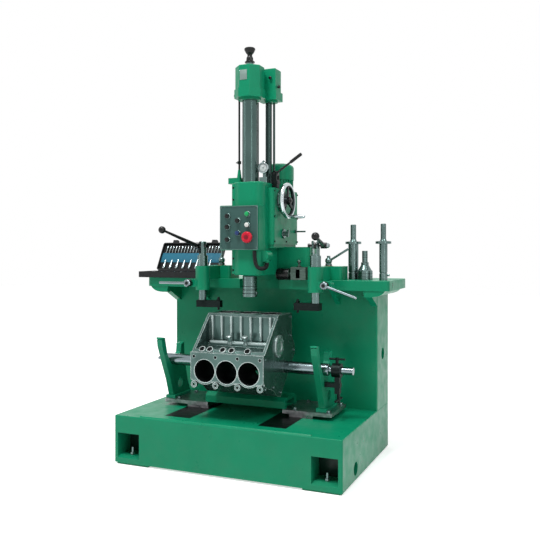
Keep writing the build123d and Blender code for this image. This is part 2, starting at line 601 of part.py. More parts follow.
save(top_housing, "top_housing")

# Rods that hang from the housing: drive tube, feed rod and a thin rod
with BuildPart() as drive_rods:
    with Locations((DRIVE_X, DRIVE_Y, ROD_END)):
        Cylinder(DRIVE_R, TOP_FLANGE_Z - ROD_END, align=(Align.CENTER, Align.CENTER, Align.MIN))
    with Locations((FEED_X, FEED_Y, ROD_END)):
        Cylinder(FEED_R, TOP_FLANGE_Z - ROD_END, align=(Align.CENTER, Align.CENTER, Align.MIN))
    with Locations((THIN_X, THIN_Y, THIN_END)):
        Cylinder(THIN_R, TOP_FLANGE_Z - THIN_END, align=(Align.CENTER, Align.CENTER, Align.MIN))
save(drive_rods, "drive_rods")

# Depth-stop rod with its collar; the housing slides down over it
with BuildPart() as stop_rod:
    with Locations((STOP_X, STOP_Y, COLUMN_TOP - 40)):
        Cylinder(STOP_R, 500, align=(Align.CENTER, Align.CENTER, Align.MIN))
    with BuildSketch(Plane.XY.offset(COLUMN_TOP + 103)):
        with Locations((STOP_X, STOP_Y)):
            Circle(10)
    extrude(amount=14)
    with BuildSketch(Plane.YZ.offset(STOP_X - 9)):
        with Locations((STOP_Y, COLUMN_TOP + 110)):
            Circle(3)
    extrude(amount=-9)
save(stop_rod, "depth_stop_rod")

# Spindle: one shaft through the bar, with the tool nose at the bottom and the hand knob on top
with BuildPart() as spindle:
    with BuildSketch(Plane.XZ.offset(-AXIS_Y)):
        with BuildLine():
            Polyline(
                (0, NOSE_BOTTOM),
                (37, NOSE_BOTTOM),
                (37, NOSE_BOTTOM + 14),
                (34.5, NOSE_BOTTOM + 14),
                (34.5, NOSE_BOTTOM + 18),
                (37, NOSE_BOTTOM + 18),
                (37, NOSE_BOTTOM + 34),
                (34.5, NOSE_BOTTOM + 34),
                (34.5, NOSE_BOTTOM + 38),
                (37, NOSE_BOTTOM + 38),
                (37, NOSE_Z - 8),
                (34, NOSE_Z),
                (SPINDLE_R, NOSE_Z),
                (SPINDLE_R, KNOB_Z),
                (0, KNOB_Z),
                close=True,
            )
        make_face()
    revolve(axis=Axis((0, AXIS_Y, 0), (0, 0, 1)))
    with BuildSketch(Plane.XZ.offset(-AXIS_Y - 6)):
        with Locations((36, NOSE_BOTTOM + 20)):
            Rectangle(14, 12)
    extrude(amount=12)
save(spindle, "spindle")

with BuildPart() as top_knob:
    with BuildSketch(Plane.XZ.offset(-AXIS_Y)):
        with BuildLine():
            Polyline(
                (0, KNOB_Z),
                (26, KNOB_Z),
                (26, KNOB_Z + 5),
                (19, KNOB_Z + 9),
                (17, KNOB_Z + 26),
                (13, KNOB_Z + 34),
                (13, KNOB_Z + 42),
                (20, KNOB_Z + 50),
                (28.5, KNOB_Z + 66),
                (28.5, KNOB_Z + 72),
                (25, KNOB_Z + 76),
                (0, KNOB_Z + 76),
                close=True,
            )
        make_face()
    revolve(axis=Axis((0, AXIS_Y, 0), (0, 0, 1)))
save(top_knob, "top_knob")

# Arms: a boss in front of the table, a beam and a block clamped on the table top
BLOCKS = {"left": (LEFT_X, -323.0, -182.0), "right": (RIGHT_X, 290.0, 449.0)}
with BuildPart() as arms:
    for name, (x, x0, x1) in BLOCKS.items():
        outward = -1 if name == "left" else 1
        with BuildSketch(Plane.XY.offset(BOSS_BOTTOM)):
            with Locations((x, AXIS_Y)):
                Circle(BOSS_R)
        extrude(amount=ARM_TOP - BOSS_BOTTOM)
        with BuildSketch(Plane.XY.offset(TABLE_TOP)):
            with Locations((x, (AXIS_Y + 60) / 2)):
                Rectangle(2 * BOSS_R - 14, 60 - AXIS_Y)
            with Locations(((x0 + x1) / 2, 107)):
                RectangleRounded(x1 - x0, 122, 12)
        extrude(amount=ARM_TOP - TABLE_TOP)
        # Split lug that the clamp screw pulls together
        with BuildSketch(Plane.XZ.offset(122)):
            with Locations((x + outward * 40, SCREW_Z)):
                Rectangle(66, 40)
            with Locations((x + outward * 73, SCREW_Z)):
                Circle(20)
        extrude(amount=-50)
        with Locations((x + outward * 66, -97, SCREW_Z)):
            Box(60, 4, 60, mode=Mode.SUBTRACT)
        with BuildSketch(Plane.XZ.offset(130)):
            with Locations((x + outward * SCREW_OUT, SCREW_Z)):
                Circle(8 + RUN)
        extrude(amount=-70, mode=Mode.SUBTRACT)
        with Locations((x, AXIS_Y, BOSS_BOTTOM - 1)):
            Cylinder(POST_R + RUN, 200, align=(Align.CENTER, Align.CENTER, Align.MIN), mode=Mode.SUBTRACT)
save(arms, "arms")

# Arm clamps: a stud, a nut and a short lever on each block
with BuildPart() as arm_clamps:
    for name, x, y, rise in (("left", -262.0, 105.0, 88.0), ("right", 360.0, 110.0, 31.0)):
        lever_plane = Plane((x, y, ARM_TOP + 26), x_dir=(0, 1, 0), z_dir=(cos(radians(rise)), 0, sin(radians(rise))))
        with BuildSketch(Plane.XY.offset(ARM_TOP)):
            with Locations((x, y)):
                Circle(17)
        extrude(amount=14)
        with Locations((x, y, ARM_TOP + 28)):
            Sphere(18.5)
        with BuildSketch(Plane.XY.offset(ARM_TOP + 40)):
            with Locations((x, y)):
                Circle(9)
        extrude(amount=14)
        with BuildSketch(lever_plane):
            Circle(6)
        extrude(amount=122 if name == "right" else 60)
save(arm_clamps, "arm_clamps")

# Posts: a round bar with a sleeve and a forked top, and a black clamp bar under it
LEVER_TURN = {"left": 246.4, "right": 279.5}
for name, x in (("left", LEFT_X), ("right", RIGHT_X)):
    inward = 1 if name == "left" else -1
    turn = LEVER_TURN[name]
    lever_way = (cos(radians(turn)), sin(radians(turn)), 0)
    pin_way = (-sin(radians(turn)), cos(radians(turn)), 0)
    with BuildPart() as post:
        with BuildSketch(Plane.XY.offset(POST_BOTTOM)):
            with Locations((x, AXIS_Y)):
                Circle(POST_R)
        extrude(amount=POST_TOP - POST_BOTTOM)
        fillet(post.faces().sort_by(Axis.Z)[-1].edges(), 6)
        with BuildSketch(Plane.XY.offset(ARM_TOP + SEAT)):
            with Locations((x, AXIS_Y)):
                Circle(SLEEVE_R)
        extrude(amount=FORK_Z - ARM_TOP - SEAT)
        with BuildSketch(Plane((x, AXIS_Y, FORK_Z + 10), x_dir=lever_way, z_dir=(0, 0, 1))):
            Rectangle(60, SLOT_W)
        extrude(amount=80, mode=Mode.SUBTRACT)
        with BuildSketch(Plane((x, AXIS_Y, PIVOT_Z), z_dir=pin_way)):
            Circle(6 + RUN)
        extrude(amount=30, both=True, mode=Mode.SUBTRACT)
    save(post, f"post_{name}")

    with BuildPart() as clamp_bar:
        with BuildSketch(Plane.XY.offset(CLAMP_BAR_Z)):
            with BuildLine():
                x_end = x + inward * CLAMP_BAR_L
                Polyline(
                    (x - inward * 26, AXIS_Y - 24),
                    (x + inward * 30, AXIS_Y - 24),
                    (x_end, AXIS_Y - 15),
                    (x_end, AXIS_Y + 15),
                    (x + inward * 30, AXIS_Y + 24),
                    (x - inward * 26, AXIS_Y + 24),
                    close=True,
                )
            make_face()
            with Locations((x, AXIS_Y)):
                Circle(POST_R, mode=Mode.SUBTRACT)
        extrude(amount=CLAMP_BAR_T)
        with Locations((x_end - inward * 16, AXIS_Y, CLAMP_BAR_Z - 14)):
            Cylinder(6, 68, align=(Align.CENTER, Align.CENTER, Align.MIN))
        with BuildSketch(Plane.XY.offset(CLAMP_BAR_Z + CLAMP_BAR_T)):
            with Locations((x_end - inward * 16, AXIS_Y)):
                RegularPolygon(11, 6)
        extrude(amount=10)
    save(clamp_bar, f"clamp_bar_{name}")

    # Cam lever: a cam in the fork, its cross pin, a hub outside the fork, a rod and a ball
    rise = 19.5 if name == "left" else 9.5
    rod_way = (lever_way[0] * cos(radians(rise)), lever_way[1] * cos(radians(rise)), sin(radians(rise)))
    pin_plane = Plane((x, AXIS_Y, PIVOT_Z), x_dir=lever_way, z_dir=pin_way)
    hub_side = -1 if name == "left" else 1
    hub_at = Vector(x, AXIS_Y, PIVOT_Z) + Vector(*pin_way) * hub_side * HUB_OUT
    ball_at = hub_at + Vector(*rod_way) * LEVER_REACH
    with BuildPart() as cam_lever:
        with BuildSketch(pin_plane):
            Circle(16)
        extrude(amount=SLOT_W / 2 - 0.4, both=True)
        with BuildSketch(pin_plane.offset(-36)):
            Circle(6)
        extrude(amount=72)
        with BuildSketch(pin_plane.offset(-hub_side * 26)):
            Circle(10)
        extrude(amount=-hub_side * 12)
        with BuildSketch(pin_plane.offset(hub_side * (HUB_OUT - 15))):
            Circle(15)
        extrude(amount=hub_side * 30)
        with BuildSketch(pin_plane.offset(hub_side * (HUB_OUT + 15))):
            Circle(8)
        extrude(amount=hub_side * 12)
        rod_plane = Plane(hub_at, x_dir=pin_way, z_dir=rod_way)
        with BuildSketch(rod_plane):
            Circle(LEVER_THICK)
        with BuildSketch(rod_plane.offset(LEVER_REACH - 10)):
            Circle(LEVER_THIN)
        loft()
        with Locations(ball_at):
            Sphere(19)
    save(cam_lever, f"cam_lever_{name}")

    # Clamp handle: a hub on the clamp screw and a bright rod
    outward = -inward
    hub_x = x + outward * SCREW_OUT
    slope = 0.0 if name == "left" else -19.0
    hub = Plane((hub_x, -145, SCREW_Z), z_dir=(outward * cos(radians(slope)), 0, sin(radians(slope))))
    with BuildPart() as handle:
        with BuildSketch(Plane.XZ.offset(122.3)):
            with Locations((hub_x, SCREW_Z)):
                Circle(19)
        extrude(amount=33)
        chamfer(handle.faces().sort_by(Axis.Y)[0].edges(), 3)
        with BuildSketch(Plane.XZ.offset(76)):
            with Locations((hub_x, SCREW_Z)):
                Circle(8)
        extrude(amount=50)
        with BuildSketch(hub):
            Circle(HANDLE_R)
        extrude(amount=HANDLE_L)
        fillet(handle.faces().sort_by(Axis.X)[0 if name == "left" else -1].edges(), 3)
    save(handle, f"clamp_handle_{name}")

# Setting gauge on the table: a slotted steel block, a ball knob and a knurled roller beside it
with BuildPart() as setting_gauge:
    with BuildSketch(Plane.XZ.offset(-8)):
        with Locations((228, TABLE_TOP + 33)):
            Rectangle(82, 66)
        with Locations((226, TABLE_TOP + 31)):
            Rectangle(22, 46, mode=Mode.SUBTRACT)
    extrude(amount=-44)
    with BuildSketch(Plane.XY.offset(TABLE_TOP + 66)):
        with Locations((226, 30)):
            Circle(11)
    extrude(amount=8)
    with BuildSketch(Plane.XY.offset(TABLE_TOP + 74)):
        with Locations((226, 30)):
            Circle(5)
    extrude(amount=12)
    with Locations((226, 30, TABLE_TOP + 94)):
        Sphere(10)
    # Roller beside the block
    with BuildSketch(Plane.YZ.offset(106)):
        with Locations((30, TABLE_TOP + 28)):
            Circle(28)
    extrude(amount=69)
    with BuildSketch(Plane.YZ.offset(175)):
        with Locations((30, TABLE_TOP + 28)):
            Circle(10)
    extrude(amount=16)
save(setting_gauge, "setting_gauge")

# Fixture: two steel foot plates on pads, a beam between them and two V cradles
with BuildPart() as fixture_plates:
    with BuildSketch(Plane.XY.offset(PLATE_Z)):
        with Locations((-360, 5), (320, 5)):
            Rectangle(260, 250)
    extrude(amount=PLATE_T)
    fillet(fixture_plates.edges().filter_by(Axis.Z), 6)
    with BuildSketch(Plane.XY.offset(BASE_H)):
        with Locations((WAY_LEFT_X - 10, 5), (WAY_RIGHT_X + 60, 5)):
            Rectangle(124, 220)
    extrude(amount=PLATE_Z - BASE_H)
save(fixture_plates, "fixture_plates")

with BuildPart() as fixture_beam:
    with BuildSketch(Plane.YZ.offset(-250)):
        with BuildLine():
            z0 = PLATE_Z + PLATE_T
            Polyline((-105, z0), (-105, z0 + 34), (-85, z0 + 52), (35, z0 + 52), (55, z0 + 34), (55, z0), close=True)
        make_face()
        with Locations((-25, z0 + 14)):
            Rectangle(110, 40, mode=Mode.SUBTRACT)
    extrude(amount=450)
save(fixture_beam, "fixture_beam")

# Outline of a cradle, seen along the mandrel: foot, short back prong, seat, long front prong
cradle_lines = [
    (-84, PLATE_TOP), (96, PLATE_TOP), (60, CRANK_Z - 130), (40, CRANK_Z - 50), (26, CRANK_Z + 30),
    (24, CRANK_Z + 66), (-8, CRANK_Z + 72), (-14, CRANK_Z + 30), (-60, CRANK_Z - 14), (-120, CRANK_Z - 14),
    (-152, CRANK_Z + 35), (-162, CRANK_Z + 75), (-176, CRANK_Z + 122), (-208, CRANK_Z + 116),
    (-202, CRANK_Z + 80), (-164, CRANK_Z - 10), (-118, CRANK_Z - 110),
]
with BuildPart() as cradles:
    for x in (CRADLE_LEFT_X, CRADLE_RIGHT_X):
        with BuildSketch(Plane.YZ.offset(x - CRADLE_T / 2)):
            with BuildLine():
                Polyline(*cradle_lines, close=True)
            make_face()
            with Locations((AXIS_Y, CRANK_Z)):
                Circle(MANDREL_R, mode=Mode.SUBTRACT)
            with Locations((-16, CRANK_Z - 140)):
                Circle(26, mode=Mode.SUBTRACT)
        extrude(amount=CRADLE_T)
        with BuildSketch(Plane.XY.offset(PLATE_TOP)):
            with Locations((x, -10)):
                Rectangle(56, 170)
        extrude(amount=14)
save(cradles, "cradles")

# Mandrel through the crank bores of the block
with BuildPart() as mandrel:
    with BuildSketch(Plane.YZ.offset(-500)):
        with Locations((AXIS_Y, CRANK_Z)):
            Circle(MANDREL_R)
    extrude(amount=930)
    chamfer(mandrel.edges(), 2)
    with BuildSketch(Plane.YZ.offset(430)):
        with Locations((AXIS_Y, CRANK_Z)):
            Circle(18)
    extrude(amount=122)
    with BuildSketch(Plane.YZ.offset(-500)):
        with Locations((AXIS_Y, CRANK_Z)):
            Circle(9)
    extrude(amount=-46)
save(mandrel, "mandrel")

# Hold-down at the right end: a yoke round the mandrel end with a T screw
with BuildPart() as hold_down:
    with BuildSketch(Plane.YZ.offset(448)):
        with Locations((AXIS_Y, CRANK_Z)):
            Circle(34)
            Circle(18, mode=Mode.SUBTRACT)
    extrude(amount=44)
    with BuildSketch(Plane.YZ.offset(458)):
        with Locations((AXIS_Y + 10, CRANK_Z - 70)):
            Rectangle(30, 90)
    extrude(amount=24)
    with BuildSketch(Plane.XY.offset(CRANK_Z - 85)):
        with Locations((445, AXIS_Y + 10)):
            Rectangle(80, 30)
    extrude(amount=22)
    with BuildSketch(Plane.XY.offset(CRANK_Z - 160)):
        with Locations((474, AXIS_Y + 10)):
            Circle(8)
    extrude(amount=75)
    with BuildSketch(Plane.XZ.offset(-AXIS_Y - 60)):
        with Locations((474, CRANK_Z - 145)):
            Circle(6)
    extrude(amount=100)
    with BuildSketch(Plane.XY.offset(CRANK_Z + 30)):
        with Locations((470, AXIS_Y)):
            Circle(8)
    extrude(amount=32)
    with BuildSketch(Plane.YZ.offset(430)):
        with Locations((AXIS_Y, CRANK_Z + 55)):
            Circle(5)
    extrude(amount=80)
save(hold_down, "hold_down")

# Engine block: a 90-degree V with one bank facing the front and one facing up
CRANK_Y = AXIS_Y
with BuildPart() as engine_block:
    with BuildSketch(Plane.YZ.offset(-BLOCK_W / 2)):
        with BuildLine():
            Polyline(
                (DECK_A_Y + DECK_T, CRANK_Z - 58),
                (DECK_A_Y + DECK_T, CRANK_Z + 90),
                (-175, DECK_B_Z),
                (4, DECK_B_Z),
                (6, CRANK_Z + 150),
                (40, CRANK_Z + 100),
                (51, CRANK_Z + 57),
                (-147, CRANK_Z - 141),
                (-190, CRANK_Z - 132),
                (-240, CRANK_Z - 94),
                close=True,
            )
        make_face()
    extrude(amount=BLOCK_W)
    # Deck plate of the front bank, scalloped round the cylinders and the bolts
    with BuildSketch(Plane.XZ.offset(-DECK_A_Y - DECK_T)):
        with Locations((0, CRANK_Z + 22)):
            Rectangle(BLOCK_W, 136)
        with Locations((-PITCH, CRANK_Z), (0, CRANK_Z), (PITCH, CRANK_Z)):
            Circle(CYLINDER_R + 11)
        with Locations((0, CRANK_Z - 68)):
            with GridLocations(PITCH, 1, 4, 1):
                Circle(16)
        with Locations((0, CRANK_Z - 30)):
            Rectangle(BLOCK_W - 20, 40)
    extrude(amount=DECK_T)
    # Valley between the banks, closed by the two end plates
    with BuildSketch(Plane.YZ.offset(-BLOCK_W / 2 + 14)):
        with BuildLine():
            Polyline(
                (DECK_A_Y - 4, CRANK_Z + 102),
                (-200, CRANK_Z + 102),
                (-186, CRANK_Z + 116),
                (-186, DECK_B_Z + 6),
                (-200, DECK_B_Z + 6),
                close=True,
            )
        make_face()
    extrude(amount=BLOCK_W - 28, mode=Mode.SUBTRACT)
    # Cylinders of both banks
    with BuildSketch(Plane.XZ.offset(-DECK_A_Y)):
        with Locations((-PITCH, CRANK_Z), (0, CRANK_Z), (PITCH, CRANK_Z)):
            Circle(CYLINDER_R)
    extrude(amount=DECK_A_Y - AXIS_Y + 60, mode=Mode.SUBTRACT)
    with BuildSketch(Plane.XY.offset(DECK_B_Z)):
        with Locations((-PITCH, AXIS_Y), (0, AXIS_Y), (PITCH, AXIS_Y)):
            Circle(CYLINDER_R)
    extrude(amount=-240, mode=Mode.SUBTRACT)
    # Crank bays between the bulkheads
    with BuildSketch(Plane.YZ.offset(0)) as bay:
        with Locations((CRANK_Y, CRANK_Z)):
            Circle(78)
    for bay_x in (-PITCH, 0, PITCH):
        with BuildSketch(Plane.YZ.offset(bay_x - 46)):
            with Locations((CRANK_Y, CRANK_Z)):
                Circle(76)
        extrude(amount=92, mode=Mode.SUBTRACT)
    # Crank bores, with the mandrel in them
    with BuildSketch(Plane.YZ.offset(-BLOCK_W / 2 - 1)):
        with Locations((CRANK_Y, CRANK_Z)):
            Circle(MANDREL_R)
    extrude(amount=BLOCK_W + 2, mode=Mode.SUBTRACT)
    # Water and bolt holes in the front deck
    with BuildSketch(Plane.XZ.offset(-DECK_A_Y)):
        with GridLocations(PITCH, 1, 4, 1):
            with Locations((0, CRANK_Z + 68), (0, CRANK_Z - 68)):
                Circle(7)
    extrude(amount=-40, mode=Mode.SUBTRACT)
save(engine_block, "engine_block")

# Boring bars and a cutter head that stand on the table
with BuildPart() as spare_bars:
    for x, y, body_r, collar_r, shaft_r in ((TABLE_W / 2 - 231, 199, 27, 42, 15), (TABLE_W / 2 - 55, 138, 21, 40, 14)):
        with BuildSketch(Plane.XZ.offset(-y)):
            with BuildLine():
                Polyline(
                    (x, TABLE_TOP),
                    (x + body_r, TABLE_TOP),
                    (x + body_r, TABLE_TOP + 34),
                    (x + body_r - 2, TABLE_TOP + 36),
                    (x + body_r - 2, TABLE_TOP + 40),
                    (x + body_r, TABLE_TOP + 42),
                    (x + body_r, TABLE_TOP + 184),
                    (x + collar_r, TABLE_TOP + 186),
                    (x + collar_r, TABLE_TOP + 198),
                    (x + shaft_r + 4, TABLE_TOP + 201),
                    (x + shaft_r, TABLE_TOP + 210),
                    (x + shaft_r, TABLE_TOP + 286),
                    (x + shaft_r - 2, TABLE_TOP + 288),
                    (x, TABLE_TOP + 288),
                    close=True,
                )
            make_face()
        revolve(axis=Axis((x, y, 0), (0, 0, 1)))
    # Side pin of the thinner bar
    with BuildSketch(Plane.YZ.offset(TABLE_W / 2 - 37)):
        with Locations((138, TABLE_TOP + 26)):
            Circle(5)
    extrude(amount=14)
save(spare_bars, "spare_bars")

with BuildPart() as cutter_head:
    x, y = TABLE_W / 2 - 162, 176.0
    with BuildSketch(Plane.XZ.offset(-y)):
        with BuildLine():
            Polyline(
                (x, TABLE_TOP),
                (x + 40, TABLE_TOP),
                (x + 40, TABLE_TOP + 46),
                (x + 34, TABLE_TOP + 51),
                (x + 20, TABLE_TOP + 76),
                (x + 20, TABLE_TOP + 90),
                (x + 14.5, TABLE_TOP + 92),
                (x + 14.5, TABLE_TOP + 150),
                (x, TABLE_TOP + 150),
                close=True,
            )
        make_face()
    revolve(axis=Axis((x, y, 0), (0, 0, 1)))
save(cutter_head, "cutter_head")

# Tool case: a tray, a lid hinged at its back edge, and the tools in both
with BuildPart() as case_tray:
    with BuildSketch(Plane.XY.offset(CASE_Z)):
        with Locations(((CASE_L + CASE_R) / 2, (CASE_FRONT + CASE_BACK) / 2)):
            RectangleRounded(CASE_R - CASE_L, CASE_BACK - CASE_FRONT, 12)
    extrude(amount=CASE_T)
    with BuildSketch(Plane.XY.offset(CASE_Z + 12)):
        with Locations(((CASE_L + CASE_R) / 2, (CASE_FRONT + CASE_BACK) / 2)):
            RectangleRounded(CASE_R - CASE_L - 12, CASE_BACK - CASE_FRONT - 12, 8)
    extrude(amount=CASE_T, mode=Mode.SUBTRACT)
    # Knuckle and pin of the hinge
    with BuildSketch(Plane.YZ.offset(CASE_L + 60)):
        with Locations((CASE_BACK + 7, CASE_Z + CASE_T)):
            Circle(5)
        with Locations((CASE_BACK + 2, CASE_Z + CASE_T - 6)):
            Rectangle(6, 10)
    extrude(amount=CASE_R - CASE_L - 120)
save(case_tray, "case_tray")

lid_turn = radians(90 + LID_ANGLE)
lid_plane = Plane((0, CASE_BACK + 7, CASE_Z + CASE_T), x_dir=(1, 0, 0), z_dir=(0, sin(lid_turn), cos(lid_turn)))
LID_MID_X, LID_MID_Y = (CASE_L + CASE_R) / 2, -(CASE_BACK - CASE_FRONT) / 2 - 7
with BuildPart() as case_lid:
    with BuildSketch(lid_plane.offset(SEAT)):
        with Locations((LID_MID_X, LID_MID_Y)):
            RectangleRounded(CASE_R - CASE_L, CASE_BACK - CASE_FRONT, 12)
    extrude(amount=LID_T)
    with BuildSketch(lid_plane.offset(SEAT)):
        with Locations((LID_MID_X, LID_MID_Y)):
            RectangleRounded(CASE_R - CASE_L - 12, CASE_BACK - CASE_FRONT - 12, 8)
    extrude(amount=LID_T - 8, mode=Mode.SUBTRACT)
    # Two latches on the front edge
    with BuildSketch(lid_plane.offset(3)):
        with Locations((CASE_L + 77, -CASE_BACK + CASE_FRONT - 16.5), (CASE_R - 74, -CASE_BACK + CASE_FRONT - 16.5)):
            Rectangle(32, 20)
    extrude(amount=20)
    # Knuckles at both ends of the hinge
    with BuildSketch(Plane.YZ.offset(CASE_L + 18)):
        with Locations((CASE_BACK + 7, CASE_Z + CASE_T)):
            Circle(5)
    extrude(amount=41.5)
    with BuildSketch(Plane.YZ.offset(CASE_R - 59.5)):
        with Locations((CASE_BACK + 7, CASE_Z + CASE_T)):
            Circle(5)
    extrude(amount=41.5)
    with BuildSketch(lid_plane.offset(SEAT)):
        with Locations((CASE_L + 37, -6), (CASE_R - 37, -6)):
            Rectangle(38, 12)
    extrude(amount=4)
save(case_lid, "case_lid")
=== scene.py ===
"""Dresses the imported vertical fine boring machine.

It gives every piece its finish and adds the fine detail of the fittings.
"""

import logging
from collections.abc import Callable
from dataclasses import dataclass, field
from enum import Enum
from math import cos, pi, radians, sin

import bpy
from mathutils import Matrix, Vector


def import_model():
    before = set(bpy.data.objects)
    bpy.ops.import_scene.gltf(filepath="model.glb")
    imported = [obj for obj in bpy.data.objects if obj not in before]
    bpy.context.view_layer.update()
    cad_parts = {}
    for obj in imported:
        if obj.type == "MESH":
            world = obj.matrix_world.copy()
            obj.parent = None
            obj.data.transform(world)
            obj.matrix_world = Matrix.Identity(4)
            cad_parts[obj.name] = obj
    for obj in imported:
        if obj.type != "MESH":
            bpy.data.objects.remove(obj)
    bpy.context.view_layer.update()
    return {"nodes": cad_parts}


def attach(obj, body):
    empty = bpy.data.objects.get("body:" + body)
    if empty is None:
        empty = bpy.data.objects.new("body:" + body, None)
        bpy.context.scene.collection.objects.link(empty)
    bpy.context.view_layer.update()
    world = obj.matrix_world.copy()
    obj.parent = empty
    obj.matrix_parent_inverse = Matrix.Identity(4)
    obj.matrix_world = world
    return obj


Triple = tuple[float, float, float]
Profile = list[tuple[float, float]]
FaceTest = Callable[[bpy.types.MeshPolygon], bool]
LOG = logging.getLogger("boring_machine")
# Places and sizes of pieces are in millimetres, and point() turns them into metres.
MM = 0.001
# Depth of the axis that the boring bar and the upper cylinders share.
AXIS_Y = -90.0
# The case lid's opening angle in degrees, its lean back past upright and its hinge line.
LID_OPEN = 118
LID_LEAN = radians(90 - LID_OPEN)
LID_HINGE_Y = 197.0
LID_HINGE_Z = 957.0
# A face lies square to an axis where its normal has more than this along it.
SQUARE = 0.9
# The origin and the six directions of the machine's frame, as the operator sees them.
HOME = Vector((0, 0, 0))
UP = Vector((0, 0, 1))
DOWN = Vector((0, 0, -1))
RIGHT = Vector((1, 0, 0))
LEFT = Vector((-1, 0, 0))
FRONT = Vector((0, -1, 0))
BACK = Vector((0, 1, 0))


class Body(Enum):
    """Names of the rigid bodies that pieces ride on."""

    MACHINE = "machine"
    BAR = "bar"
    HANDWHEEL = "handwheel"
    LID = "case_lid"
    CAM_LEFT = "cam_lever_left"
    CAM_RIGHT = "cam_lever_right"
    CLAMP_LEFT = "clamp_handle_left"
    CLAMP_RIGHT = "clamp_handle_right"

    @property
    def side(self) -> str:
        """The last word of the body's name, such as left."""
        return self.value.rsplit("_", 1)[-1]


def paint(red: int, green: int, blue: int) -> Triple:
    """Turns a colour as seen on a screen, 0 to 255, into linear light."""
    return tuple(((v / 255 + 0.055) / 1.055) ** 2.4 if v > 10 else v / 3295 for v in (red, green, blue))


def point(x: float, y: float, z: float) -> Vector:
    """Turns a place in millimetres into a vector in metres."""
    return Vector((x, y, z)) * MM


def facing(along: Vector) -> Matrix:
    """Returns the turn that points a piece's own Z axis along a direction."""
    return along.normalized().to_track_quat("Z", "Y").to_matrix().to_4x4()


def lid_point(across: float, down: float, deep: float) -> Vector:
    """Turns a place in the open case lid into a place on the machine, in metres.

    Args:
        across: distance along the machine's width, in mm.
        down: distance from the hinge towards the lid's free edge, in mm.
        deep: depth from the lid's rim into its shell, in mm.

    Returns:
        The point in the machine's frame.
    """
    turn = radians(LID_OPEN)
    y = LID_HINGE_Y + down * -cos(turn) + deep * sin(turn)
    z = LID_HINGE_Z + down * sin(turn) + deep * cos(turn)
    return point(across, y, z)


